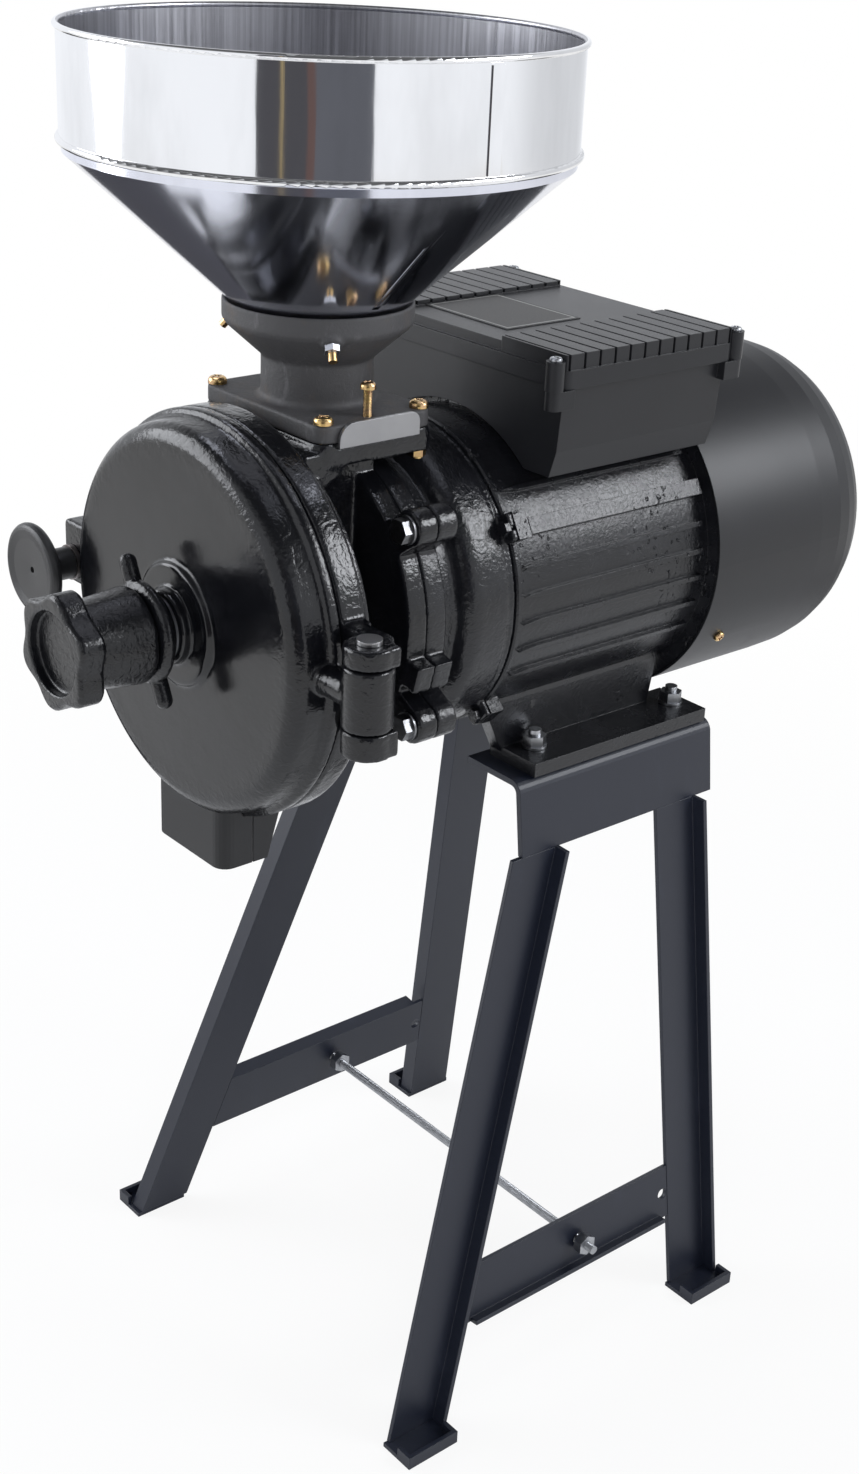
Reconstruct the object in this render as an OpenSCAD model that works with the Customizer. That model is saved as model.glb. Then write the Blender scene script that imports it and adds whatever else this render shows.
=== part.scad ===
// Electric disc mill for grain on a bolted stand, with a sheet hopper, a hinged
// front cover, a screw that sets the gap of the burrs, and a flange motor.
// The shaft runs along Y; the cover is at -Y, the fan cowl at +Y, the hinge at +X.

/* [Hopper] */
// Outer diameter of the upright band
hopper_d = 280; // [250:1:320]
// Height of the upright band
band_h = 61; // [45:1:90]
// Height of the cone below the band
cone_h = 94; // [80:1:120]
// Diameter of the cone's lower end
spout_d = 66; // [60:1:70]
// Thickness of the hopper sheet
sheet_t = 1; // [0.8:0.1:1.5]

/* [Feed neck and gate] */
// Outer diameter of the cup that holds the cone
cup_d = 108; // [100:1:120]
// Outer diameter of the neck's tube
tube_d = 64; // [58:1:70]
// Bore of the throat
throat_d = 50; // [44:1:52]
// Height of the neck above the gate
neck_h = 66; // [60:1:90]
// Width of the neck's flange across the shaft
flange_w = 114; // [104:1:124]
// Length of the neck's flange along the shaft
flange_l = 80; // [80:1:88]
// Thickness of the neck's flange
flange_t = 10; // [8:1:16]
// Thickness of the gate plate
gate_t = 2; // [1.5:0.1:3]
// Width of the gate plate
gate_w = 56; // [54:1:58]

/* [Mill body and cover] */
// Outer diameter of the drum
drum_d = 238; // [230:1:260]
// Depth of the drum's rim behind the split
rim_t = 18; // [16:1:22]
// Depth of the front cover
cover_depth = 28; // [26:1:36]
// Wall of the castings
cast_t = 6; // [5:0.5:8]
// Distance from the neck's axis forward to the split
split_ahead = 68; // [66:1:74]
// Depth of the gate's platform below the top of the drum
platform_sink = 13; // [8:1:15]
// Distance from the drum's rim out to the hinge axis
hinge_out = 26; // [22:1:32]
// Distance from the drum's rim out to the latch axis
latch_out = 17; // [15:1:24]
// Diameter of the hinge barrel
barrel_d = 28; // [24:1:30]
// Diameter of the hinge pin
pin_d = 9; // [7:0.5:10]

/* [Burrs] */
// Diameter of the burrs
burr_d = 150; // [130:1:160]
// Thickness of a burr
burr_t = 10; // [8:0.5:11]
// Gap of the burrs as set
burr_gap = 0.6; // [0.5:0.1:1]

/* [Knobs and screws] */
// Diameter of the adjusting screw
screw_d = 20; // [16:1:22]
// Diameter of the star knob over its lobes
star_d = 70; // [56:1:72]
// Number of lobes on the star knob
star_lobes = 6; // [5:1:8]
// Diameter of the latch knob
latch_knob_d = 58; // [44:1:60]
// Diameter of the latch screw
latch_d = 10; // [8:1:12]

/* [Motor] */
// Height of the shaft above the motor's feet
shaft_h = 115; // [112:1:130]
// Diameter of the motor housing
housing_d = 196; // [190:1:204]
// Length of the motor housing
housing_l = 165; // [160:1:200]
// Diameter of the fan cowl
cowl_d = 218; // [214:1:230]
// Length of the fan cowl
cowl_l = 173; // [160:1:200]
// Diameter of the motor's front flange
ring_d = 184; // [180:1:190]
// Diameter of the shaft in its bearings
shaft_d = 25; // [22:1:26]
// Outer diameter of the feed auger
auger_d = 48; // [44:1:49]
// Distance between the foot bolts across the shaft
foot_bolt_x = 144; // [138:1:150]
// Distance between the foot bolts along the shaft
foot_bolt_y = 122; // [100:1:130]

/* [Capacitor box] */
// Length of the box across the shaft
box_l = 208; // [196:1:230]
// Width of the box along the shaft
box_w = 140; // [130:1:146]
// Height of the lid
lid_h = 20; // [18:1:24]

/* [Stand] */
// Height of the stand's top plates
stand_h = 415; // [350:1:480]
// Width of the stand over its feet
stand_w = 342; // [320:1:400]
// Thickness of the stand's sheet
stand_t = 3; // [2.5:0.5:4]
// Width of a leg's wall
leg_w = 37; // [28:1:40]
// Width of a leg's lip
leg_lip = 10; // [8:1:14]
// Height of a crossbar
bar_h = 40; // [30:1:50]
// Diameter of the tie rod
tie_d = 6; // [5:1:10]

/* [Hidden] */
$fn = 64;

// Clearances
slide_gap = 0.4;
seat_gap = 0.15;
turn_gap = 0.05;
eps = 0.01;

// Heights
axis_z = stand_h + shaft_h;
platform_z = axis_z + drum_d / 2 - platform_sink;
gate_room = gate_t + 2 * slide_gap;
neck_z = platform_z + gate_room;
cup_z = neck_z + neck_h;
cone_slope = cone_h / (hopper_d / 2 - 2 - spout_d / 2);
spout_z = cup_z - (cup_d / 2 - 4 - spout_d / 2) * cone_slope;
band_z = spout_z + cone_h + 3;
rim_z = band_z + band_h;

// Stations along the shaft, first from the neck's axis
cover_face = -split_ahead - cover_depth;
collar_ahead = 11;
washer_t = 3;
nut_t = 13;
star_gap = 2;
star_l = 52;
star_head = 16;
star_front = cover_face - collar_ahead - washer_t - nut_t - star_gap - star_l;
ring_t = 14;
bell_l = 49;
housing_at = 2 * ring_t + bell_l - 2;
cowl_lap = 5;
cowl_at = housing_at + housing_l - cowl_lap;
cowl_end = cowl_at + cowl_l;
neck_y = -(star_front + cowl_end) / 2;
split_y = neck_y - split_ahead;
face_y = neck_y + cover_face;
collar_y = face_y - collar_ahead;
star_y = neck_y + star_front;
ring_y = neck_y - 2;
housing_y = neck_y + housing_at;
housing_end = housing_y + housing_l;
cowl_y = neck_y + cowl_at;

// Chamber and burrs
split_gap = 0.4;
chamber_r = drum_d / 2 - 16;
chamber_back = split_y + rim_t + 6;
fixed_front = chamber_back - burr_t;
disc_back = fixed_front - burr_gap;
holder_back = disc_back - burr_t;
holder_t = 8;
hub_front = holder_back - holder_t - 5.5;
shaft_front = hub_front + 7;
eye_d = 56;
ball_r = 4;
ball_y = hub_front - ball_r + 1;
screw_tip = ball_y - 0.6;
barrel_r = auger_d / 2 + 1;
seal_d = 38;

// Hinge and latch
hinge_y = split_y - 5;
mid_low = axis_z - 16;
mid_high = axis_z + 19.5;
top_knuckle = 11.5;
low_knuckle = 14.5;
arm_d = 17;
latch_face = face_y - 17.5;
latch_z = axis_z - 6;
latch_x = drum_d / 2 + latch_out;
hinge_x = drum_d / 2 + hinge_out;
ear_t = 14;
ear_h = 39;
ear_out = 10;

// Motor
housing_r = housing_d / 2;
cowl_r = cowl_d / 2;
cowl_t = 1.5;
ring_r = ring_d / 2;
bolt_r = ring_r + 16;
bolt_angles = [36, 144, 209, 331];
tab_angles = [-14, 194];
lug_angles = [30, 150, 225, 315];
lug_r = housing_r + 4;
lug_l = 10;
stator_r = housing_r - 10;
bore_r = stator_r - 40;
air_gap = 0.6;
core_l = 100;
core_y = housing_y + 26;
front_bearing_y = ring_y + 2 * ring_t + 2;
rear_bearing_y = housing_end - 6;
bearing_t = 15;
bearing_r = shaft_d / 2 + 13.5;
fan_y = housing_end + 34;
shaft_rear = fan_y + 30;

// Box on the motor
box_x = -4;
box_y0 = housing_y + 23;
box_top = axis_z + housing_r + 52;
lid_z = box_top - lid_h;
box_low = axis_z + housing_r - 22;
floor_z = axis_z + housing_r + 6;
box_seat_r = housing_r + 3;
inset = 4;

// Stand
pad_t = 9;
pad_w = 42;
pad_l = 152;
pad_y0 = housing_y + 28;
bolt_y = pad_y0 + pad_l / 2 + 3;
plate_t = 4;
bracket_l = 170;
bracket_y0 = pad_y0 - 13;
bracket_drop = 49;
foot_h = 9;
foot_w = 26;
foot_l = 38;
front_lean = 18.2;
rear_lean = 1.7;
wall_x = stand_w / 2 - foot_w + stand_t;
bracket_side = 22.1009;
frame_lean = atan((wall_x - foot_bolt_x / 2 - bracket_side) / stand_h);
bar_z = 60;
front_foot_y = bracket_y0 - 129;
rear_foot_y = bracket_y0 + 129.5;
tie_y = bracket_y0 + 40;
tie_z = 79;

// ---- shared helpers -------------------------------------------------------

// Points of an arc in a profile
function arc(cx, cy, r, a0, a1, n = 6) =
    [for (i = [0:n]) let (a = a0 + (a1 - a0) * i / n) [cx + r * cos(a), cy + r * sin(a)]];

// Stands its children at station y with their Z along +Y
module along_y(y, x = 0, z = axis_z) {
    translate([x, y, z]) rotate([-90, 0, 0]) children();
}

// Turned form about the shaft; a point is [radius, distance behind station y]
module turned(y, points) {
    along_y(y) rotate_extrude() polygon(points);
}

// Places its children at an angle and radius round the shaft, Z along +Y
module around(y, angle, r) {
    along_y(y, r * cos(angle), axis_z + r * sin(angle)) children();
}

// Plate with rounded corners, centred on its children's origin
module rounded(w, l, h, r) {
    linear_extrude(h) {
        difference() {
            square([w, l], center = true);
            for (sx = [-1, 1], sy = [-1, 1]) translate([sx * (w / 2 - r), sy * (l / 2 - r)]) {
                difference() {
                    translate([sx > 0 ? 0 : -r - eps, sy > 0 ? 0 : -r - eps]) square(r + eps);
                    circle(r);
                }
            }
        }
    }
}

// Hexagon prism by its width across flats
module hex(flats, h) {
    cylinder(h = h, d = flats / cos(30), $fn = 6);
}

// Hex screw with its head below z = 0 and its shank above
module hex_screw(d, flats, head, l) {
    translate([0, 0, -head]) hex(flats, head);
    cylinder(h = l, d = d);
}

// Pan-head screw standing head up, its seat at z = 0
module pan_screw(d, head_d, head, l) {
    translate([0, 0, -l]) cylinder(h = l + eps, d = d);
    difference() {
        rotate_extrude() polygon(concat([[0, 0], [head_d / 2, 0], [head_d / 2, head * 0.35]],
            arc(head_d / 2 - head * 0.65, head * 0.35, head * 0.65, 0, 90), [[0, head]]));
        for (a = [0, 90]) rotate(a) translate([-head_d * 0.3, -0.6, head * 0.5])
            cube([head_d * 0.6, 1.2, head]);
    }
}

// ---- hopper ---------------------------------------------------------------

module hopper_band() {
    color("gainsboro") {
        r = hopper_d / 2;
        translate([0, neck_y, 0]) {
            difference() {
                union() {
                    rotate_extrude() polygon([[r - sheet_t, band_z + 2], [r, band_z + 2],
                        [r, rim_z - 2], [r - sheet_t, rim_z - 2]]);
                    rotate_extrude() translate([r, rim_z - 1.7]) circle(1.7);
                    rotate_extrude() translate([r, band_z + 2]) circle(2);
                }
                translate([0, 0, band_z - 1]) cylinder(h = 6, r = r - sheet_t);
            }
            translate([r - eps, -4, band_z + 4.5]) cube([0.8, 8, band_h - 9]);
        }
    }
}

module hopper_cone() {
    top_r = hopper_d / 2 - sheet_t - seat_gap;
    low_r = spout_d / 2;
    top_z = spout_z + cone_h;
    color("silver") difference() {
        translate([0, neck_y, 0]) rotate_extrude() polygon([
            [low_r, spout_z], [low_r + sheet_t * 1.3, spout_z], [top_r, top_z - sheet_t * 1.2],
            [top_r, top_z + 9], [top_r - sheet_t, top_z + 9], [top_r - sheet_t, top_z]]);
        at_hopper_fixings() translate([0, 0, -4]) cylinder(h = 8, d = 5.6);
    }
}

// Places children on the cone at each fixing, Z pointing down and out
module at_hopper_fixings() {
    r = (cup_d / 2 + spout_d / 2) / 2;
    z = spout_z + (r - spout_d / 2) * cone_slope;
    for (a = [-29, 91, 211]) translate([0, neck_y, 0]) rotate(a) translate([r, 0, z])
        rotate([0, 90 + atan(1 / cone_slope), 0]) children();
}

module hopper_screws() {
    color("goldenrod") at_hopper_fixings() {
        translate([0, 0, -0.4]) rotate([180, 0, 0]) pan_screw(5, 10, 3.4, 23);
        translate([0, 0, 13]) difference() {
            hex(8, 4);
            translate([0, 0, -1]) cylinder(h = 6, d = 5 + 2 * turn_gap);
        }
    }
}

// ---- feed neck and gate ---------------------------------------------------

screw_in = 6.5;
platform_t = 11;
clamp_y = neck_y - 2;
clamp_x = flange_w / 2 - 8;
flange_low = neck_z;
flange_top = neck_z + flange_t;

module feed_neck() {
    cup_r = cup_d / 2;
    tube_r = tube_d / 2;
    seat_r = spout_d / 2 + 2;
    seat_z = spout_z - 1.5;
    straight_z = cup_z - 13;
    flare_z = straight_z - (cup_r - tube_r) * 0.85;
    color("dimgray") difference() {
        union() {
            translate([0, neck_y, flange_low]) rounded(flange_w, flange_l, flange_t, 9);
            translate([0, neck_y, 0]) rotate_extrude() polygon(concat(
                [[0, flange_low + 1], [tube_r + 4, flange_low + 1], [tube_r + 4, flange_top]],
                arc(tube_r + 4, flange_top + 4, 4, 270, 180),
                [[tube_r, flare_z], [cup_r - 2, straight_z - 1], [cup_r, straight_z + 2],
                [cup_r, cup_z], [0, cup_z]]));
            at_hopper_fixings() translate([0, 0, 5]) cylinder(h = 8, d = 12);
        }
        translate([0, neck_y, flange_low - 1]) cylinder(h = neck_h + 2, d = throat_d);
        translate([0, neck_y, 0]) rotate_extrude() polygon([[0, seat_z - 6],
            [throat_d / 2, seat_z - 6], [throat_d / 2 + 2, seat_z - 2], [seat_r, seat_z - 0.6],
            [seat_r + (cup_z - seat_z) / cone_slope, cup_z + 0.4], [0, cup_z + 0.4]]);
        at_hopper_fixings() {
            translate([0, 0, -2]) cylinder(h = 30, d = 5.6);
            translate([0, 0, 13]) cylinder(h = 8, d = 10);
        }
        at_neck_screws() translate([0, 0, -60]) cylinder(h = 70, d = 6.6);
        translate([clamp_x, clamp_y, flange_low - 1])
            cylinder(h = flange_t + 2, d = 5 + 2 * turn_gap);
    }
}

// Places children on the neck's flange; row -1 is in front of the tube, 1 behind it
module at_neck_screws(rows = [-1, 1]) {
    x = flange_w / 2 - screw_in;
    y = flange_l / 2 - screw_in;
    for (sx = [-1, 1], sy = rows) translate([sx * x, neck_y + sy * y, flange_top]) children();
}

neck_grip = flange_t + gate_room + platform_t;

// The front screws go into tapped holes, the rear ones through to nuts
module neck_screws() {
    nut_h = 4;
    color("goldenrod") {
        at_neck_screws([-1]) pan_screw(6, 11, 4.2, neck_grip + 3);
        at_neck_screws([1]) {
            pan_screw(6, 11, 4.2, neck_grip + nut_h + 1.5);
            translate([0, 0, -neck_grip - nut_h - 0.1]) difference() {
                hex(9, nut_h);
                translate([0, 0, -1]) cylinder(h = nut_h + 2, d = 6 + 2 * turn_gap);
            }
        }
    }
}

gate_len = flange_w / 2 + throat_d / 2 + 8;
gate_y = neck_y - 1;

module feed_gate() {
    edge = flange_w / 2 + 1;
    z = platform_z + slide_gap;
    color("lightgray") {
        translate([edge - gate_len, gate_y - gate_w / 2, z]) cube([gate_len + gate_t, gate_w, gate_t]);
        translate([edge, gate_y, z + gate_t - eps]) rotate([90, 0, 90]) linear_extrude(gate_t)
            polygon(concat([[-gate_w / 2, 0], [gate_w / 2, 0]],
                arc(gate_w / 2 - 6, 5.5, 6, 0, 90), arc(-gate_w / 2 + 10, 1.5, 10, 90, 180)));
    }
}

module gate_clamp_screw() {
    tip = platform_z + gate_t + 2 * slide_gap - 0.1;
    color("goldenrod") translate([clamp_x, clamp_y, flange_top + 15])
        pan_screw(5, 9, 4, flange_top + 15 - tip);
}

// ---- mill body ------------------------------------------------------------

module mill_body() {
    r = drum_d / 2;
    color([0.12, 0.12, 0.13]) difference() {
        union() {
            turned(split_y, concat([[0, 0]], body_side(0)));
            along_y(split_y + rim_t + 8) cylinder(h = ring_y - split_y - rim_t, r = barrel_r + 15);
            along_y(ring_y) cylinder(h = ring_t, r = ring_r);
            for (a = bolt_angles) flange_ear(ring_y, a);
            for (a = tab_angles) flange_tab(ring_y + 1, a);
            throat_block();
            platform();
            platform_web();
            body_hinge();
            latch_ear(split_y, split_y + ear_t);
        }
        along_y(split_y - 1) cylinder(h = chamber_back - split_y + 1, r = chamber_r);
        along_y(chamber_back - 1) cylinder(h = ring_y - chamber_back + 8, r = barrel_r);
        along_y(ring_y) cylinder(h = ring_t + 1, d = shaft_d + 3);
        along_y(ring_y + ring_t - 7) cylinder(h = 8, d = seal_d);
        throat_hole();
        gate_slot();
        outlet_hole(split_y - 1, chamber_back);
        for (a = bolt_angles) around(ring_y - 1, a, bolt_r) cylinder(h = ring_t + 2, d = 9);
        at_neck_screws([1]) translate([0, 0, -neck_grip - 1]) cylinder(h = platform_t + 5, d = 6.6);
        at_neck_screws([-1]) translate([0, 0, -neck_grip - 4]) cylinder(h = platform_t + 8, d = 6.1);
        translate([hinge_x, hinge_y, mid_low - 40]) cylinder(h = 120, d = pin_d + 2 * seat_gap);
        cover_knuckle_room();
        along_y(split_y - 1, -latch_x, latch_z) cylinder(h = ear_t + 2, d = latch_d + 1);
        at_fixed_screws(chamber_back - 1) cylinder(h = 14, d = 5.1);
    }
}

// Outline of the body behind the split, grown by g
function body_side(g) = let (r = drum_d / 2 + g) concat(
    [[r - 1, 0], [r, 1]], arc(r - 3, rim_t - 3, 3, 0, 90, 4), arc(r - 9, rim_t + 2, 2, 270, 180, 3),
    [[r - 12, rim_t + 10], [62, rim_t + 16 + g], [44, rim_t + 22 + g], [0, rim_t + 22 + g]]);

// Outline of the cover in front of the split, grown by g
function cover_side(g) = let (r = drum_d / 2 + g) concat(
    [[r - 19 - g, -g]], arc(r - 17, 12, 12, -80, -20, 5), [[r - 4, 20], [r - 1.5, 20.6]],
    arc(r - 2, 22.5, 2, -60, 0, 3), [[r, cover_depth - split_gap]]);

// Small tab on the motor flange, for prying the two castings apart
module flange_tab(y, angle) {
    along_y(y) rotate(-angle) translate([ring_r - 4, -8.5, 0]) cube([14, 17, ring_t - 1]);
}

// Ear of the motor flange that takes a bolt
module flange_ear(y, angle) {
    along_y(y) rotate(-angle) {
        translate([bolt_r, 0, 0]) cylinder(h = ring_t, d = 22);
        translate([ring_r - 3, -10.4, 0]) cube([bolt_r - ring_r + 3, 20.8, ring_t]);
    }
}

throat_half = throat_d / 2;
flange_clear = axis_z + ring_r + 1.5;

module throat_block() {
    w = throat_half + 15;
    front = split_y + rim_t + 2;
    translate([-w, 0, 0]) rotate([90, 0, 90]) linear_extrude(2 * w) polygon([
        [front, axis_z + 20], [front, platform_z - 12], [neck_y + throat_half + 8, platform_z - 10],
        [neck_y + throat_half + 8, flange_clear], [ring_y + ring_t, flange_clear],
        [ring_y + ring_t, axis_z + 20]]);
}

module throat_hole() {
    z = axis_z + ring_r - 22;
    translate([-throat_half, 0, 0]) rotate([90, 0, 90]) linear_extrude(2 * throat_half) polygon([
        [neck_y - throat_half, platform_z + 1], [neck_y + throat_half, platform_z + 1],
        [neck_y + throat_half, platform_z - 1.5], [ring_y + ring_t - 1, flange_clear + 3],
        [neck_y - 4, z], [neck_y - 4, axis_z + 4],
        [neck_y - throat_half - 14, axis_z + 4], [neck_y - throat_half - 14, z]]);
}

// Plate that the gate slides on, with a rail on each side for the neck's flange
module platform() {
    l = flange_l + 2;
    translate([0, neck_y, platform_z - platform_t]) {
        rounded(flange_w, l, platform_t, 8);
        rounded(flange_w, flange_l, platform_t + gate_room - seat_gap, 8);
    }
}

// Cast web that carries the platform's front corners on the drum
module platform_web() {
    front = split_y + rim_t - 3;
    rear = neck_y - flange_l / 2 + 18;
    translate([1 - flange_w / 2, 0, 0]) rotate([90, 0, 90]) linear_extrude(flange_w - 2)
        polygon([[front, platform_z - 30], [front, platform_z - 2], [rear, platform_z - 2],
            [rear, platform_z - 13], [rear - 5, platform_z - 19]]);
}

module gate_slot() {
    w = gate_w + 2 * slide_gap;
    translate([-flange_w / 2 - 1, gate_y - w / 2, platform_z]) cube([flange_w + 2, w, gate_room + 1]);
}

module body_hinge() {
    r = barrel_d / 2;
    for (k = [[mid_high + slide_gap, top_knuckle], [mid_low - low_knuckle - slide_gap, low_knuckle]]) {
        translate([hinge_x, hinge_y, k[0]]) cylinder(h = k[1], r = r);
        translate([chamber_r, split_y + split_gap, k[0]]) cube([hinge_x - chamber_r, 12, k[1]]);
        translate([hinge_x - 4, hinge_y + 2, k[0]]) cube([r + 3, 10, k[1]]);
    }
    translate([chamber_r, split_y + 4, mid_low - low_knuckle])
        cube([18, 12, mid_high - mid_low + top_knuckle + low_knuckle]);
}

// Keeps the body clear of the cover's knuckle
module cover_knuckle_room() {
    translate([hinge_x, hinge_y, mid_low - slide_gap])
        cylinder(h = mid_high - mid_low + 2 * slide_gap, r = barrel_d / 2 + 1.2);
}

// Square ear at the latch, from station y0 to y1
module latch_ear(y0, y1) {
    r = 3;
    h = ear_h / 2;
    translate([-latch_x, y0, axis_z]) rotate([-90, 0, 0]) linear_extrude(y1 - y0)
        polygon(concat(arc(r - ear_out, r - h, r, 270, 180, 3), arc(r - ear_out, h - r, r, 180, 90, 3),
            [[30, h], [30, -h]]));
}

outlet_w = 54;

module outlet_hole(y0, y1) {
    low = axis_z - drum_d / 2 - 10;
    translate([-outlet_w / 2, y0, low]) cube([outlet_w, y1 - y0, drum_d / 2 - 60]);
}

module hinge_pin() {
    low = mid_low - low_knuckle - slide_gap - 4;
    high = mid_high + top_knuckle + slide_gap;
    color("dimgray") translate([hinge_x, hinge_y, low]) {
        cylinder(h = high - low + 1, d = pin_d);
        translate([0, 0, high - low + 0.1]) cylinder(h = 2.6, d = pin_d + 5);
    }
}

// ---- flour chute in two halves ---------------------------------------------

chute_w = 70;
chute_t = 1.5;
chute_drop = 31;
chute_top = axis_z - drum_d / 2 + 14;
chute_low = axis_z - drum_d / 2 - chute_drop + 4;
chute_front = face_y + 6;

module rear_chute() {
    y0 = split_y + split_gap + 0.4;
    y1 = split_y + rim_t + 5;
    y2 = split_y + rim_t - 7;
    color([0.14, 0.14, 0.15]) difference() {
        translate([-chute_w / 2, 0, 0]) rotate([90, 0, 90]) linear_extrude(chute_w)
            polygon([[y0, chute_low], [y2, chute_low], [y1, chute_top], [y0, chute_top]]);
        translate([-chute_w / 2 + chute_t, 0, 0]) rotate([90, 0, 90])
            linear_extrude(chute_w - 2 * chute_t)
            polygon([[y0 - 1, chute_low - 1], [y2 - chute_t, chute_low - 1],
                [y1 - chute_t, chute_top + 1], [y0 - 1, chute_top + 1]]);
        casting_room();
    }
}

module front_chute() {
    l = split_y - chute_front;
    color([0.14, 0.14, 0.15]) difference() {
        translate([0, chute_front, chute_low]) chute_shell(chute_w, l, 9, 0);
        translate([0, chute_front + chute_t, chute_low - 1])
            chute_shell(chute_w - 2 * chute_t, l, 7.5, 2);
        casting_room();
    }
}

// Bent front of the chute, open to the rear
module chute_shell(w, l, r, extra) {
    linear_extrude(chute_top - chute_low + extra) polygon(concat([[w / 2, l], [-w / 2, l]],
        arc(-w / 2 + r, r, r, 180, 270), arc(w / 2 - r, r, r, 270, 360)));
}

// The two castings' outside with a little air round it
module casting_room() {
    behind = [for (p = body_side(seat_gap)) [p[0], p[1] + cover_depth]];
    turned(face_y, concat([[0, -seat_gap]], cover_side(seat_gap), behind));
}

// ---- burrs -----------------------------------------------------------------

burr_slots = 24;

// Ring with straight milling grooves on the side towards -Y
module burr(y, cut_y) {
    difference() {
        along_y(y) difference() {
            cylinder(h = burr_t, d = burr_d);
            translate([0, 0, -1]) cylinder(h = burr_t + 2, d = eye_d);
        }
        for (i = [0:burr_slots - 1]) along_y(cut_y) rotate(i * 360 / burr_slots)
            translate([6, eye_d / 2 - 2, 0]) rotate(8) cube([3, burr_d / 2 - eye_d / 2 + 8, 2]);
    }
}

module at_fixed_screws(y) {
    for (a = [90, 210, 330]) around(y, a, burr_d / 2 - 12) children();
}

module fixed_burr() {
    color("slategray") difference() {
        burr(fixed_front, fixed_front - eps);
        at_fixed_screws(fixed_front - 1) {
            cylinder(h = burr_t + 2, d = 5.4);
            cylinder(h = 5, d = 10.4);
        }
    }
}

module fixed_burr_screws() {
    color("silver") at_fixed_screws(fixed_front + 1.4) {
        cylinder(h = 2.4, d = 10);
        cylinder(h = burr_t + 6, d = 5);
    }
}

module at_disc_screws(y) {
    for (a = [30, 150, 270]) around(y, a, 45) children();
}

module rotating_burr() {
    color("slategray") difference() {
        burr(holder_back, disc_back - 2 + eps);
        at_disc_screws(holder_back - 1) cylinder(h = burr_t + 2, d = 5.4);
        at_disc_screws(disc_back - 4) cylinder(h = 5, d = 10.4);
    }
}

module rotating_burr_screws() {
    color("silver") at_disc_screws(holder_back - 6) {
        cylinder(h = burr_t + 3, d = 5);
        translate([0, 0, burr_t + 2.2]) cylinder(h = 2.2, d = 10);
    }
}

module burr_holder() {
    front = holder_back - holder_t;
    color("gray") difference() {
        union() {
            turned(front, [[0, 0], [58, 0], [60, 2], [60, holder_t - seat_gap],
                [0, holder_t - seat_gap]]);
            along_y(hub_front) cylinder(h = front - hub_front + 1, d = 36);
            along_y(holder_back - 1) cylinder(h = 8, d = 36);
        }
        along_y(shaft_front - 5) cylinder(h = 40, d = shaft_d + 2 * turn_gap);
        along_y(hub_front - 1) cylinder(h = 2.2, r = ball_r + 0.3);
        translate([-30, drive_y - 3.2, axis_z - 3.2]) cube([60, 30, 6.4]);
        at_disc_screws(front - 1) cylinder(h = holder_t + 2, d = 5.1);
    }
}

drive_y = holder_back + 2;

module drive_pin() {
    color("silver") translate([-16.5, drive_y, axis_z]) rotate([0, 90, 0]) cylinder(h = 33, d = 6);
}

spring_turns = 4;

module return_spring() {
    y0 = holder_back + 7.4;
    y1 = auger_front - 0.4;
    wire = 1.1;
    r = shaft_d / 2 + 3;
    turns = spring_turns;
    ring = 12;
    n = turns * ring;
    pitch = (y1 - y0 - 2 * wire) / turns;
    points = [for (i = [0:n]) for (k = [0:5]) let (a = i * 360 / ring, b = k * 60)
        [(r + wire * cos(b)) * cos(a), y0 + wire + pitch * i / ring + wire * sin(b),
            axis_z + (r + wire * cos(b)) * sin(a)]];
    sides = [for (i = [0:n - 1]) for (k = [0:5]) let (m = (k + 1) % 6)
        [i * 6 + k, i * 6 + m, (i + 1) * 6 + m, (i + 1) * 6 + k]];
    color("silver") polyhedron(points, concat([[5, 4, 3, 2, 1, 0]], sides,
        [[for (k = [0:5]) n * 6 + k]]));
}

auger_front = fixed_front + 12;
auger_rear = ring_y + 5;

module feed_auger() {
    l = auger_rear - auger_front;
    color("gray") difference() {
        union() {
            along_y(auger_front) cylinder(h = l, d = shaft_d + 10);
            along_y(auger_front) linear_extrude(l, twist = -360 * 1.3, slices = 40) union() {
                translate([0, -2.5]) square([auger_d / 2, 5]);
            }
        }
        along_y(auger_front - 1) cylinder(h = l + 2, d = shaft_d + 2 * turn_gap);
    }
}

// ---- front cover and its screws ---------------------------------------------

module front_cover() {
    collar = -collar_ahead;
    color([0.1, 0.1, 0.11]) difference() {
        union() {
            turned(face_y, concat([[0, 0]], cover_side(0), [[0, cover_depth - split_gap]]));
            turned(face_y, concat([[0, collar], [screw_d / 2 + 10, collar]],
                arc(screw_d / 2 + 10, collar + 2, 2, -90, 0, 3),
                [[screw_d / 2 + 12, -3.5], [34, -3.5]], arc(34, -1.5, 2, -90, 0, 3), [[36, 1], [0, 1]]));
            cover_hinge();
            latch_ear(split_y - split_gap - ear_t, split_y - split_gap);
        }
        along_y(face_y + cast_t) cylinder(h = cover_depth, r = chamber_r);
        along_y(collar_y - 1) cylinder(h = cover_depth + collar_ahead, d = screw_d + 2 * turn_gap);
        outlet_hole(split_y - 18, split_y + 1);
        along_y(latch_face, -latch_x, latch_z) cylinder(h = 60, d = latch_d + 0.8);
        translate([hinge_x, hinge_y, mid_low - 1])
            cylinder(h = mid_high - mid_low + 2, d = pin_d + 2 * turn_gap + 0.06);
        for (k = [[mid_high, top_knuckle + 30], [mid_low - low_knuckle - 31, low_knuckle + 31]])
            translate([hinge_x, hinge_y, k[0]]) cylinder(h = k[1], r = barrel_d / 2 + 1.2);
    }
    color([0.1, 0.1, 0.11]) along_y(face_y + cast_t - 1) difference() {
        cylinder(h = 5, d = screw_d + 16);
        translate([0, 0, -1]) cylinder(h = 9, d = screw_d + 2 * turn_gap);
    }
}

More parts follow.
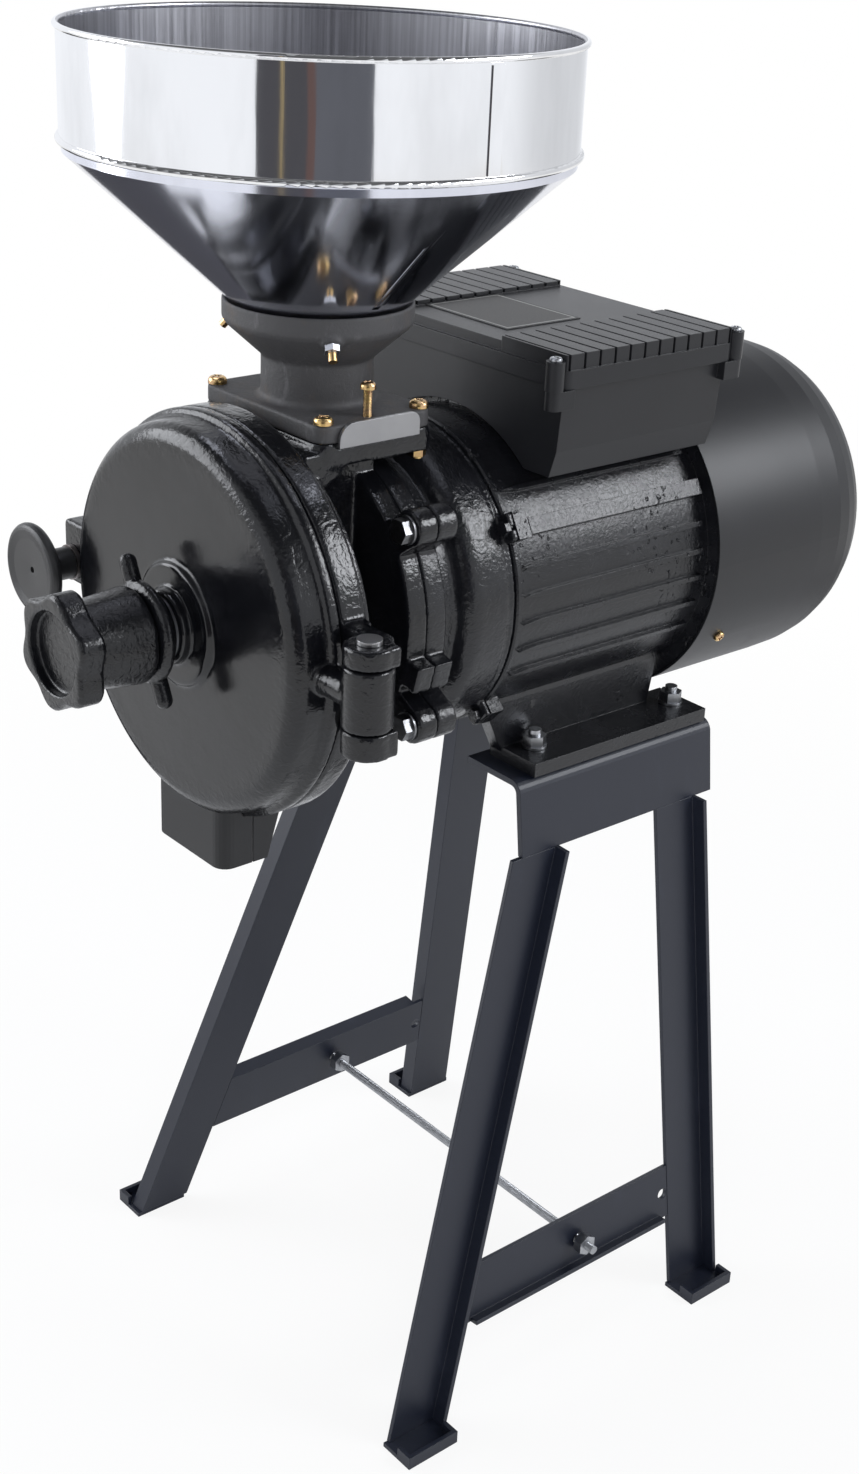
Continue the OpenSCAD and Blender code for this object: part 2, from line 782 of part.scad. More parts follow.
module cover_hinge() {
    h = mid_high - mid_low;
    translate([hinge_x, hinge_y, mid_low]) cylinder(h = h, d = barrel_d);
    translate([chamber_r + 2, hinge_y - 4, mid_low + h / 2]) rotate([0, 90, 0])
        cylinder(h = hinge_x - chamber_r - 2, d = arm_d);
}

module adjusting_screw() {
    color("dimgray") difference() {
        along_y(star_y + star_head) cylinder(h = screw_tip - star_y - star_head, d = screw_d);
        along_y(ball_y, 0) sphere(r = ball_r + turn_gap);
    }
}

module thrust_ball() {
    color("silver") along_y(ball_y) sphere(r = ball_r);
}

// Lobed head with a round recess, on a thick neck that widens towards the nut
module star_knob() {
    r = star_d / 2;
    neck_l = star_l - star_head + 2;
    edge = 1.6;
    recess = 6;
    color([0.12, 0.12, 0.13]) difference() {
        union() {
            along_y(star_y + edge) linear_extrude(star_head - 2 * edge) star_outline(r);
            along_y(star_y) linear_extrude(star_head) star_outline(r - edge);
            turned(star_y + star_head - 2, concat([[0, 0], [star_neck_r - 3, 0],
                [star_neck_r - 3, 5], [star_neck_r, neck_l - 3]],
                arc(star_neck_r - 2, neck_l - 2, 2, 0, 90, 3), [[0, neck_l]]));
        }
        along_y(star_y - 1) cylinder(h = recess + 1, r = r * 0.68);
        along_y(star_y + recess + 6) cylinder(h = star_l, d = screw_d + 2 * turn_gap);
    }
}

star_neck_r = star_d * 0.4;

// Rounded lobes that flow into shallow valleys
module star_outline(r) {
    valley = 0.075;
    turn = -23;
    rotate(turn) polygon([for (a = [0:360 / (star_lobes * 12):359.9])
        r * (1 - valley + valley * cos(star_lobes * a)) * [cos(a), sin(a)]]);
}

module wing_nut() {
    y = collar_y - washer_t - nut_t;
    hub_r = star_neck_r + 2;
    color([0.12, 0.12, 0.13]) difference() {
        union() {
            turned(y, concat([[0, 0], [hub_r - 5, 0]], arc(hub_r - 4, 5, 4, -70, 20, 4),
                [[hub_r - 6, nut_t - 3], [hub_r - 8, nut_t - seat_gap], [0, nut_t - seat_gap]]));
            for (a = [116, 296]) around(y + nut_t / 2, a, 0) rotate(-a) wing();
        }
        along_y(y - 1) cylinder(h = nut_t + 2, d = screw_d + 2 * turn_gap);
    }
}

module lock_washer() {
    color("gainsboro") along_y(collar_y - washer_t + 0.1) difference() {
        cylinder(h = washer_t - 0.2, d = screw_d + 18);
        translate([0, 0, -1]) cylinder(h = washer_t + 2, d = screw_d + 1);
    }
}

// Arm of the wing nut along +X
module wing() {
    reach = 40;
    d = 10;
    rotate([0, 90, 0]) cylinder(h = reach, d = d);
    translate([reach, 0, 0]) sphere(d = d);
}

module latch_knob() {
    neck = latch_seat - latch_face - 3.6;
    r = latch_knob_d / 2;
    head = 8;
    color([0.13, 0.13, 0.13]) along_y(latch_face, -latch_x, latch_z) difference() {
        rotate_extrude() polygon(concat([[0, 2.5], [r - 9, 1.2], [r - 4, 0]],
            arc(r - head / 2, head / 2, head / 2, -90, 90, 8),
            [[12, head + 3], [10, head + 8], [10, neck], [0, neck]]));
        translate([0, 0, -1]) cylinder(h = 6, d = 4);
        translate([0, 0, 9]) cylinder(h = neck, d = latch_d - 2 + 2 * turn_gap);
    }
}

latch_seat = split_y - split_gap - ear_t;

module latch_screw() {
    color("silver") along_y(latch_face + 10, -latch_x, latch_z) {
        cylinder(h = latch_seat - latch_face - 10, d = latch_d - 2);
        translate([0, 0, latch_seat - latch_face - 10]) cylinder(h = ear_t + 8, d = latch_d - 0.4);
    }
}

module latch_ring() {
    color("silver") along_y(latch_seat - 3.3, -latch_x, latch_z) difference() {
        cylinder(h = 3, d = 22);
        translate([0, 0, -1]) cylinder(h = 5, d = latch_d - 2 + 2 * turn_gap);
    }
}

// ---- motor -------------------------------------------------------------------

module shaft_seal() {
    color([0.2, 0.2, 0.2]) along_y(ring_y + ring_t - 7) difference() {
        cylinder(h = 6.8, d = seal_d - 0.2);
        translate([0, 0, -1]) cylinder(h = 9, d = shaft_d + 0.2);
    }
}

module flange_bolts() {
    color("gainsboro") for (a = bolt_angles) around(ring_y - 1.8, a, bolt_r) {
        difference() {
            cylinder(h = 1.6, d = 17);
            translate([0, 0, -1]) cylinder(h = 4, d = 8.4);
        }
        hex_screw(8, 13, 5.5, 2 * ring_t + 1);
    }
}

module front_shield() {
    y = ring_y + ring_t;
    l = housing_y - y - 0.1;
    neck_r = ring_r - 6;
    shoulder_r = housing_r - 1 - neck_r;
    color([0.11, 0.11, 0.12]) difference() {
        union() {
            turned(y, concat([[0, 0], [ring_r, 0], [ring_r, ring_t], [neck_r, ring_t]],
                arc(neck_r, ring_t + 12 + shoulder_r, shoulder_r, -90, 0),
                [[housing_r - 1, l - 6], [housing_r - 2.5, l - 5], [housing_r - 2.5, l - 4],
                [housing_r - 1, l - 3], [housing_r - 1, l - 0.3], [0, l - 0.3]]));
            for (a = bolt_angles) flange_ear(y, a);
            for (a = tab_angles) flange_tab(y, a);
            for (a = lug_angles) lug(housing_y - 4, a, 3.9);
        }
        along_y(y + ring_t + 16) cylinder(h = bell_l, r = stator_r);
        along_y(front_bearing_y) cylinder(h = bell_l, r = bearing_r + turn_gap);
        along_y(y - 1) cylinder(h = bell_l, d = shaft_d + 4);
        for (a = bolt_angles) around(y - 1, a, bolt_r) cylinder(h = ring_t + 2, d = 8.2);
        for (a = lug_angles) around(housing_y - 5, a, lug_r) cylinder(h = 6, d = 6.4);
    }
}

// Lug that a shield screw passes through
module lug(y, angle, l) {
    along_y(y) rotate(-angle) translate([housing_r - 8, -8.5, 0]) cube([16, 17, l]);
}

module motor_housing() {
    color([0.1, 0.1, 0.11]) difference() {
        union() {
            turned(housing_y, [[0, 0], [housing_r - 1, 0], [housing_r, 1], [housing_r, 4],
                [housing_r - 1, 5], [housing_r - 1, housing_l - spigot_l],
                [spigot_r, housing_l - spigot_l], [spigot_r, housing_l], [0, housing_l]]);
            for (a = lug_angles) lug(housing_y, a, lug_l);
            for (a = [29, 151]) along_y(housing_y + lug_l + 3) rotate(-a)
                translate([housing_r - 8, -5, 0]) cube([13, 10, rail_l]);
            for (a = rib_angles, s = [0, 1]) housing_rib(s > 0 ? 180 - a : a);
            for (s = [-1, 1]) housing_foot(s);
            box_seat();
        }
        along_y(housing_y - 1) cylinder(h = housing_l + 2, r = stator_r);
        for (a = lug_angles) around(housing_y - 1, a, lug_r) cylinder(h = 6, d = 5.1);
        at_foot_bolts() translate([0, 0, -20]) cylinder(h = 60, d = 9);
    }
}

rib_angles = [43, 16, 6, -4, -14.5, -25];
rail_l = housing_l - lug_l - 12;
// Spigot at the housing's end that the cowl slides on
spigot_l = 3.2;
spigot_r = cowl_r - cowl_t - slide_gap;

// Raised seat that the box stands on
module box_seat() {
    w = 84;
    intersection() {
        along_y(box_y0 + 12) cylinder(h = box_w - 24, r = box_seat_r - seat_gap);
        translate([box_x - w / 2, box_y0, axis_z + housing_r * 0.7]) cube([w, box_w, housing_r]);
    }
}

// Long cast rib with a pointed front end
module housing_rib(angle) {
    along_y(housing_y + 4) rotate(-angle) translate([housing_r - 4, 0, 0])
        rotate([90, 0, 90]) linear_extrude(6) polygon([[0, 0], [1.6, 14],
            [1.6, housing_l - 14], [-1.6, housing_l - 14], [-1.6, 14]]);
}

// Cast foot: a pad with a leaning web up to the barrel
module housing_foot(side) {
    x0 = side * (foot_bolt_x / 2);
    translate([x0 - pad_w / 2, pad_y0, stand_h]) cube([pad_w, pad_l, pad_t]);
    hull() {
        translate([x0 - side * 17 - 5, pad_y0 + 3, stand_h + 1]) cube([10, pad_l - 26, 4]);
        translate([x0 - side * 7 - 5, housing_y + 4, axis_z - housing_r * 0.72])
            cube([10, housing_l - 16, 4]);
    }
}

module at_foot_bolts() {
    for (sx = [-1, 1], sy = [-1, 1])
        translate([sx * foot_bolt_x / 2, bolt_y + sy * foot_bolt_y / 2, stand_h]) children();
}

module foot_bolts() {
    color("gainsboro") at_foot_bolts() {
        translate([0, 0, -plate_t - 0.1]) hex_screw(8, 13, 5.3, plate_t + pad_t + 12);
        translate([0, 0, pad_t + 0.1]) difference() {
            union() {
                cylinder(h = 1.6, d = 16);
                translate([0, 0, 1.7]) hex(13, 6.5);
            }
            translate([0, 0, -1]) cylinder(h = 12, d = 8 + 2 * turn_gap);
        }
    }
}

module shield_screws() {
    color("gainsboro") for (a = lug_angles) around(housing_y - 4.1, a, lug_r)
        hex_screw(5, 8, 3.5, 9);
}

module stator_core() {
    slots = 24;
    color("lightslategray") along_y(core_y) difference() {
        cylinder(h = core_l, r = stator_r - turn_gap);
        translate([0, 0, -1]) cylinder(h = core_l + 2, r = bore_r);
        for (i = [0:slots - 1]) rotate(i * 360 / slots) translate([bore_r - 2, -2, -1])
            cube([20, 4, core_l + 2]);
    }
}

module stator_coils() {
    color("peru") for (y = [core_y - 22, core_y + core_l + 0.2]) along_y(y) rotate_extrude()
        translate([bore_r + 5, 0]) polygon([[0, 4], [4, 0], [24, 0], [28, 4], [28, 18],
            [24, 21.8], [4, 21.8], [0, 18]]);
}

module rotor_core() {
    color("lightslategray") along_y(core_y - 3) difference() {
        union() {
            cylinder(h = core_l + 6, r = bore_r - air_gap);
            for (i = [0:7], z = [-7, core_l + 5.9]) rotate(i * 45) translate([bore_r - 14, -1.5, z])
                cube([9, 3, 7.1]);
        }
        translate([0, 0, -1]) cylinder(h = core_l + 8, r = shaft_d / 2 + 5.5 + turn_gap);
    }
}

module motor_shaft() {
    r = shaft_d / 2;
    a = core_y - shaft_front;
    b = a + core_l;
    f = fan_y - shaft_front;
    color("silver") difference() {
        turned(shaft_front, [[0, 0], [r - 1, 0], [r, 1], [r, a - 12], [r + 5.5, a - 12],
            [r + 5.5, b + 12], [r, b + 12], [r, f - 4], [r - 3.5, f - 4],
            [r - 3.5, shaft_rear - shaft_front - 1], [r - 4.5, shaft_rear - shaft_front],
            [0, shaft_rear - shaft_front]]);
        translate([-20, drive_y, axis_z]) rotate([0, 90, 0]) cylinder(h = 40, d = 6 + 2 * turn_gap);
    }
}

module ring_pair(r0, r1) {
    for (y = [front_bearing_y, rear_bearing_y]) along_y(y + 0.2) difference() {
        cylinder(h = bearing_t - 0.4, r = r1);
        translate([0, 0, -1]) cylinder(h = bearing_t + 2, r = r0);
        translate([0, 0, bearing_t / 2 - 0.2]) rotate_extrude()
            translate([(shaft_d / 2 + bearing_r) / 2, 0]) circle(4 + turn_gap);
    }
}

module bearing_inner_rings() {
    color("silver") ring_pair(shaft_d / 2 + 0.02, shaft_d / 2 + 5);
}

module bearing_outer_rings() {
    color("silver") ring_pair(bearing_r - 5, bearing_r - 0.02);
}

module bearing_balls() {
    r = (shaft_d / 2 + bearing_r) / 2;
    color("silver") for (y = [front_bearing_y, rear_bearing_y]) along_y(y + bearing_t / 2) {
        difference() {
            rotate_extrude() translate([r, 0]) square([1.4, 5], center = true);
            for (i = [0:7]) rotate(i * 45) translate([r, 0, 0]) sphere(4 - eps);
        }
        for (i = [0:7]) rotate(i * 45) translate([r, 0, 0]) sphere(4);
    }
}

module rear_shield() {
    y = housing_end;
    color("dimgray") difference() {
        union() {
            turned(y, [[0, -6], [stator_r - seat_gap, -6], [stator_r - seat_gap, 0],
                [housing_r - 4, 0], [housing_r - 4, 5], [40, 8], [34, 14], [0, 14]]);
            for (a = cowl_screw_angles) along_y(y) rotate(-a) translate([housing_r - 24, -7, 0])
                cube([cowl_r - cowl_t - 0.3 - housing_r + 24, 14, 26]);
        }
        along_y(y - 7) cylinder(h = 7 - 6 + bearing_t, r = bearing_r + turn_gap);
        along_y(y - 8) cylinder(h = 30, d = shaft_d + 4);
        at_cowl_screws() translate([0, 0, -22]) cylinder(h = 30, d = 4.1);
    }
}

cowl_screw_angles = [90, 210, 330];
cowl_screw_y = housing_end + 18;

// Places children on the cowl at each screw, Z pointing outwards
module at_cowl_screws() {
    for (a = cowl_screw_angles) translate([0, cowl_screw_y, axis_z]) rotate([0, 90 - a, 0])
        translate([0, 0, cowl_r]) children();
}

module cowl_screws() {
    color("goldenrod") at_cowl_screws() translate([0, 0, 0.2]) pan_screw(4, 7.5, 2.6, 12);
}

module cooling_fan() {
    color([0.15, 0.15, 0.16]) along_y(fan_y) difference() {
        union() {
            cylinder(h = 26, r = 17);
            translate([0, 0, 4]) cylinder(h = 3, r = 66);
            for (i = [0:6]) rotate(i * 360 / 7) translate([14, -1.25, 4.5])
                cube([cowl_r - 30, 2.5, 20]);
        }
        translate([0, 0, -1]) cylinder(h = 40, r = shaft_d / 2 - 3.5 + turn_gap);
    }
}

dome_l = 75;

module fan_cowl() {
    color([0.09, 0.09, 0.1]) difference() {
        turned(cowl_y, concat([[0, 0]], cowl_side(0)));
        turned(cowl_y, concat([[0, -1], [cowl_r - cowl_t, -1]], cowl_side(cowl_t)));
        for (k = [0:2]) cowl_vents(18 + k * 20, 8 + 8 * k);
        at_cowl_screws() translate([0, 0, -6]) cylinder(h = 12, d = 4.5);
    }
}

// Outline of the cowl with its bluntly domed end, drawn in by t
function cowl_side(t, n = 12) = concat([[cowl_r - t, 0]], [for (i = [0:n]) let (a = 90 * i / n)
    [(cowl_r - t) * pow(cos(a), 2 / 3), cowl_l - dome_l + (dome_l - t) * pow(sin(a), 2 / 3)]]);

// Ring of n vent slots through the cowl's end, from radius r outwards
module cowl_vents(r, n) {
    for (i = [0:n - 1]) along_y(cowl_y + cowl_l - dome_l / 2) rotate(i * 360 / n)
        translate([r, -2, 0]) cube([14, 4, dome_l]);
}

// ---- capacitor box -------------------------------------------------------------

box_r = box_l - 2 * inset;

module terminal_box() {
    low = box_low;
    ear = 11;
    box_mid = box_y0 + box_w / 2;
    color([0.1, 0.1, 0.1]) difference() {
        union() {
            translate([box_x, box_y0 + box_w - inset, 0]) rotate([90, 0, 0])
                linear_extrude(box_w - 2 * inset)
                    polygon([[-box_r / 2 + 8, low], [box_r / 2 - 8, low], [box_r / 2 - 3, low + 16],
                        [box_r / 2, lid_z], [-box_r / 2, lid_z], [-box_r / 2 + 3, low + 16]]);
            at_lid_screws() translate([0, 0, 3 - lid_h - ear]) cylinder(h = ear, d = 10);
            for (sx = [-1, 1], sy = [-1, 1])
                translate([box_x + sx * (box_l / 2 - 4), box_mid + sy * (box_w / 2 - 2), lid_z - ear / 2])
                    cube([10, 12, ear], center = true);
        }
        translate([box_x - box_r / 2 + 5, box_y0 + inset + 3, floor_z])
            cube([box_r - 10, box_w - 2 * inset - 6, 80]);
        along_y(box_y0 - 10) cylinder(h = box_w + 20, r = box_seat_r);
        at_lid_screws() translate([0, 0, -40]) cylinder(h = 60, d = 3.9);
        gland_place() translate([0, 0, -12]) cylinder(h = 30, d = 20.4);
        switch_place() translate([0, 0, -10]) rounded(15.4, 21.4, 20, 1.5);
    }
}

// Places children on the lid's corner bosses
module at_lid_screws() {
    x = box_l / 2 - 4;
    for (sx = [-1, 1], y = [box_y0 - 4, box_y0 + box_w + 4])
        translate([box_x + sx * x, y, box_top - 3]) children();
}

groove_n = 12;

module box_lid() {
    zone = 56;
    pitch = (box_w - 8) / (groove_n - 1);
    color([0.11, 0.11, 0.11]) difference() {
        union() {
            translate([box_x, box_y0 + box_w / 2, lid_z]) {
                rounded(box_l, box_w, lid_h - 9, 6);
                rounded(box_l - 4, box_w - 4, lid_h - 3, 4);
                for (s = [-1, 1]) translate([s * (box_l / 2 - 1 - zone / 2), 0, 0])
                    rounded(zone, box_w - 3, lid_h, 2);
            }
            at_lid_screws() translate([0, 0, 3 - lid_h]) cylinder(h = lid_h - 3, d = 11);
        }
        for (i = [0:groove_n - 1], s = [-1, 1]) translate([box_x + s * (box_l / 2 - 1 - zone / 2),
            box_y0 + 4 + i * pitch, box_top]) {
                cube([zone + 2, 1.8, 5], center = true);
                translate([s * zone / 2, 0, -2]) cube([3.6, 1.8, 14], center = true);
            }
        translate([box_x, box_y0 + box_w / 2, lid_z - 1]) rounded(box_l - 16, box_w - 16, lid_h - 5, 3);
        at_lid_screws() translate([0, 0, -lid_h]) cylinder(h = lid_h + 5, d = 4.3);
    }
}

module lid_screws() {
    color("gainsboro") at_lid_screws() translate([0, 0, 0.1]) pan_screw(3.8, 7.5, 2.2, lid_h + 3);
}

module capacitors() {
    d = 36;
    l = 84;
    color("slategray") for (k = [0, 1])
        translate([box_x - 40 + 10 * k, box_y0 + d + 40 * k, floor_z + d / 2 + 0.2]) rotate([0, 90, 0]) {
            cylinder(h = l, d = d);
            for (s = [-1, 1]) translate([s * 6 - 2, -0.5, l - 1]) cube([4, 1, 9]);
        }
}

module terminal_block() {
    color("beige") translate([box_x - 30, box_y0 + box_w - 36, floor_z + 0.1]) difference() {
        cube([72, 18, 15]);
        for (i = [0:5]) translate([6 + i * 12, 9, 8]) cylinder(h = 10, d = 6);
    }
}

// Outer face of the box end at -X, Z pointing out
module gland_place() {
    translate([box_x - box_r / 2 + 0.4, box_y0 + 40, lid_z - 15]) rotate([0, -90, 0]) children();
}

module switch_place() {
    translate([box_x - box_r / 2 + 0.4, box_y0 + 96, lid_z - 15]) rotate([0, -90, 0]) rotate(90)
        children();
}

module cable_gland() {
    color([0.16, 0.16, 0.16]) gland_place() difference() {
        union() {
            translate([0, 0, -10]) cylinder(h = 12, d = 20);
            translate([0, 0, 1]) hex(24, 7);
            translate([0, 0, 8 - eps]) rotate_extrude() polygon(concat([[0, 0], [11, 0], [11, 4]],
                arc(6, 5, 5, 0, 70, 4), [[0, 10]]));
        }
        translate([0, 0, -12]) cylinder(h = 40, d = 9);
    }
}

module switch_body() {
    color([0.13, 0.13, 0.13]) switch_place() difference() {
        union() {
            translate([0, 0, 0.8]) rounded(18, 25, 2, 2);
            translate([0, 0, -18]) rounded(15, 21, 19, 1.5);
        }
        translate([0, 0, -9]) rounded(11.4, 18.4, 30, 0.6);
    }
}

module switch_rocker() {
    color("firebrick") switch_place() translate([0, 0, -1]) rotate([0, 90, 0])
        linear_extrude(10.4, center = true) rotate(9) polygon(concat([[4, -3], [4, 3]],
            [[-2.5, 8.2], [-5.8, 8]], arc(-20, 0, 16, 24, -24, 6), [[-5.8, -8], [-2.5, -8.2]]));
}

// ---- stand -----------------------------------------------------------------------

// Tilts a side frame so that its wall leans in towards the top; side is 1 or -1
module side_frame(side) {
    translate([side * wall_x, 0, 0]) rotate([0, -side * frame_lean, 0]) children();
}

// Keeps what lies between the foot plates and the brackets' lower edges
module trimmed() {
    intersection() {
        children();
        translate([-400, -400, stand_t]) cube([800, 900, stand_h - bracket_drop - stand_t]);
    }
}

// One angle leg, its wall in the frame's plane and its lip turned outwards
module leg(side, foot_y, lean) {
    w = leg_w;
    color([0.13, 0.14, 0.16]) trimmed() side_frame(side)
        translate([0, foot_y, 0]) rotate([-lean, 0, 0]) translate([0, 0, -20]) linear_extrude(480)
            union() {
                translate([side > 0 ? -stand_t : 0, 0]) square([stand_t, w]);
                translate([side > 0 ? -stand_t : -leg_lip, side > 0 ? w - stand_t : 0])
                    square([leg_lip + stand_t, stand_t]);
            }
}

module front_legs() {
    for (side = [-1, 1]) leg(side, front_foot_y, front_lean);
}

module rear_legs() {
    for (side = [-1, 1]) leg(side, rear_foot_y, -rear_lean);
}

module crossbars() {
    rise = (bar_z + bar_h / 2) * tan(front_lean);
    y0 = front_foot_y + leg_w / cos(front_lean) + rise;
    color([0.13, 0.14, 0.16]) {
        crossbar(1, y0 + 0.5, 0);
        crossbar(-1, y0 + 0.5, bar_h - stand_t);
    }
}

// Angle bar between the legs; its lip is at height lip_z above the bar's foot
module crossbar(side, y0, lip_z) {
    y1 = rear_foot_y - 2.7;
    cut = bar_h / 2 * tan(front_lean);
    lip = 9;
    side_frame(side) difference() {
        translate([side > 0 ? -stand_t : 0, 0, bar_z]) {
            rotate([90, 0, 90]) linear_extrude(stand_t)
                polygon([[y0 - cut, 0], [y1 + 0.4, 0], [y1 - 0.8, bar_h], [y0 + cut, bar_h]]);
            translate([side > 0 ? -stand_t : -lip, y0 + cut, lip_z])
                cube([lip + stand_t, y1 - y0 - cut - 8, stand_t]);
        }
        translate([-20, tie_y, tie_z / cos(frame_lean)]) rotate([0, 90, 0])
            cylinder(h = 40, d = tie_d + 1.5);
        translate([-20, y1 - 5, tie_z]) rotate([0, 90, 0]) cylinder(h = 40, d = 8);
    }
}

module stand_feet() {
    color([0.13, 0.14, 0.16]) for (s = [-1, 1], y = [front_foot_y - 2, rear_foot_y - 2]) foot(s, y);
}

// Pressed foot: a plate with upturned edges on three sides
module foot(side, y) {
    x0 = side > 0 ? stand_w / 2 - foot_w : -stand_w / 2;
    t = stand_t;
    translate([x0, y, 0]) difference() {
        cube([foot_w, foot_l + 2, foot_h]);
        translate([side > 0 ? -1 : t, t, t]) cube([foot_w - t + 1, foot_l + 2 - 2 * t, foot_h]);
        translate([side > 0 ? -1 : foot_w - leg_lip - 4, -1, t])
            cube([leg_lip + 5, foot_l + 4, foot_h]);
    }
}

module top_brackets() {
    lean = tan(frame_lean);
    drop = bracket_drop;
    low_x = wall_x - (stand_h - drop) * lean;
    high_x = wall_x - stand_h * lean;
    in_x = foot_bolt_x / 2 - pad_w / 2 - 6;
    r = 9;
    color([0.13, 0.14, 0.16]) for (s = [-1, 1]) translate([0, bracket_y0 + bracket_l, 0])
        rotate([90, 0, 0]) difference() {
            linear_extrude(bracket_l) mirror([s > 0 ? 0 : 1, 0]) polygon(concat(
                [[in_x, stand_h], [in_x, stand_h - plate_t], [high_x - r + 1, stand_h - plate_t]],
                arc(high_x - r + 1, stand_h - r, r - plate_t, 90, 10, 5),
                [[low_x - plate_t, stand_h - drop], [low_x, stand_h - drop]],
                arc(high_x - r + 1, stand_h - r, r, 0, 90, 6)));
            for (y = [-1, 1]) translate([s * foot_bolt_x / 2, stand_h - 10,
                bracket_l - (bolt_y + y * foot_bolt_y / 2 - bracket_y0)])
                rotate([-90, 0, 0]) cylinder(h = 20, d = 8.6);
        }
}

module tie_rod() {
    wx = wall_x - tie_z * tan(frame_lean);
    color("gainsboro") {
        translate([-wx - 16, tie_y, tie_z]) rotate([0, 90, 0]) cylinder(h = 2 * wx + 32, d = tie_d);
        for (s = [-1, 1], k = [0, 1])
            translate([s * (wx + (k > 0 ? 3.2 : -stand_t - 11.5)), tie_y, tie_z])
                rotate([0, s * 90, 0]) difference() {
                    hex(13, 6.5);
                    translate([0, 0, -1]) cylinder(h = 10, d = tie_d + 2 * turn_gap);
                }
    }
}

hopper_band();
hopper_cone();
hopper_screws();
feed_neck();
neck_screws();
feed_gate();
gate_clamp_screw();
mill_body();
hinge_pin();
fixed_burr();
fixed_burr_screws();
rear_chute();
shaft_seal();
flange_bolts();
front_cover();
front_chute();
adjusting_screw();
star_knob();
thrust_ball();
wing_nut();
lock_washer();
latch_knob();
latch_screw();
latch_ring();
rotating_burr();
rotating_burr_screws();
burr_holder();
drive_pin();
return_spring();
feed_auger();
motor_shaft();
rotor_core();
cooling_fan();
bearing_inner_rings();
bearing_outer_rings();
bearing_balls();
front_shield();
motor_housing();
rear_shield();
shield_screws();
stator_core();
stator_coils();
fan_cowl();
cowl_screws();
terminal_box();
box_lid();
lid_screws();
capacitors();
terminal_block();
cable_gland();
switch_body();
switch_rocker();
top_brackets();
front_legs();
rear_legs();
crossbars();
stand_feet();
tie_rod();
foot_bolts();
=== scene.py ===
"""Finishes and fine detail for an electric grain mill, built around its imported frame."""

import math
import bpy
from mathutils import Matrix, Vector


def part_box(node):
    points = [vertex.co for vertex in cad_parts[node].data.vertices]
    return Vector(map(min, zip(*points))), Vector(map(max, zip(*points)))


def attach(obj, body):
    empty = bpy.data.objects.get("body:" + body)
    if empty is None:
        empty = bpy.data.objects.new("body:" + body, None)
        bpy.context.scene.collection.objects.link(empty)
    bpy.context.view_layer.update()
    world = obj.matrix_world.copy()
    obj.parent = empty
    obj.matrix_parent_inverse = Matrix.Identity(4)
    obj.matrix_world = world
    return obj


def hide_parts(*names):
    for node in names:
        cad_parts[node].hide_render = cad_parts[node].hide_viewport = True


bl_info = {
    "name": "Electric Grain Mill",
    "version": (1, 0, 0),
    "blender": (4, 5, 0),
    "location": "3D View > Sidebar > Grain Mill",
    "description": "Finishes and fine detail for an electric grain mill",
    "category": "Object",
}

import bmesh
import bpy
from mathutils import Matrix, Vector

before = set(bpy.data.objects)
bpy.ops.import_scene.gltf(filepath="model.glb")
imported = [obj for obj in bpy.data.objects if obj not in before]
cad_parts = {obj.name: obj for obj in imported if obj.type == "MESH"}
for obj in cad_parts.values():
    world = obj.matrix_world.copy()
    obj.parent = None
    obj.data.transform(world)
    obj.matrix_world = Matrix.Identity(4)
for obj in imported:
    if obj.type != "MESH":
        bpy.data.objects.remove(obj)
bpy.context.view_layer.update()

X, Y, Z = 0, 1, 2


def middle(node, *axes):
    """Middle of a node's box on some of its axes."""
    low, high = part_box(node)
    return tuple((low[axis] + high[axis]) / 2 for axis in axes)


SHAFT_Z = middle("motor_shaft", Z)[0]
HOPPER_Y = middle("hopper_band", Y)[0]


# ---- shader maths -----------------------------------------------------------

RAYS = ("Is Camera Ray", "Is Glossy Ray", "Is Transmission Ray")


def wire_up(tree, operation, *operands):
    """One Math node fed with wires and numbers."""
    node = tree.nodes.new("ShaderNodeMath")
    node.operation = operation
    for slot, operand in zip(node.inputs, operands):
        if isinstance(operand, Wire):
            tree.links.new(operand.socket, slot)
        else:
            slot.default_value = operand
    return Wire(tree, node.outputs[0])


class Wire:
    """A socket that takes part in Python expressions: each operator adds its Math node."""

    def __init__(self, tree, socket):
        self.tree = tree
        self.socket = socket

    def math(self, operation, *others):
        """Adds one Math node on this value and returns its result."""
        return wire_up(self.tree, operation, self, *others)

    def __add__(self, other):
        return self.math("ADD", other)

    def __radd__(self, other):
        return wire_up(self.tree, "ADD", other, self)

    def __sub__(self, other):
        return self.math("SUBTRACT", other)

    def __rsub__(self, other):
        return wire_up(self.tree, "SUBTRACT", other, self)

    def __mul__(self, other):
        return self.math("MULTIPLY", other)

    def __rmul__(self, other):
        return wire_up(self.tree, "MULTIPLY", other, self)

    def __gt__(self, other):
        return self.math("GREATER_THAN", other)

    def __lt__(self, other):
        return self.math("LESS_THAN", other)

    def clamped(self):
        """Held between 0 and 1."""
        return self.math("MAXIMUM", 0.0).math("MINIMUM", 1.0)


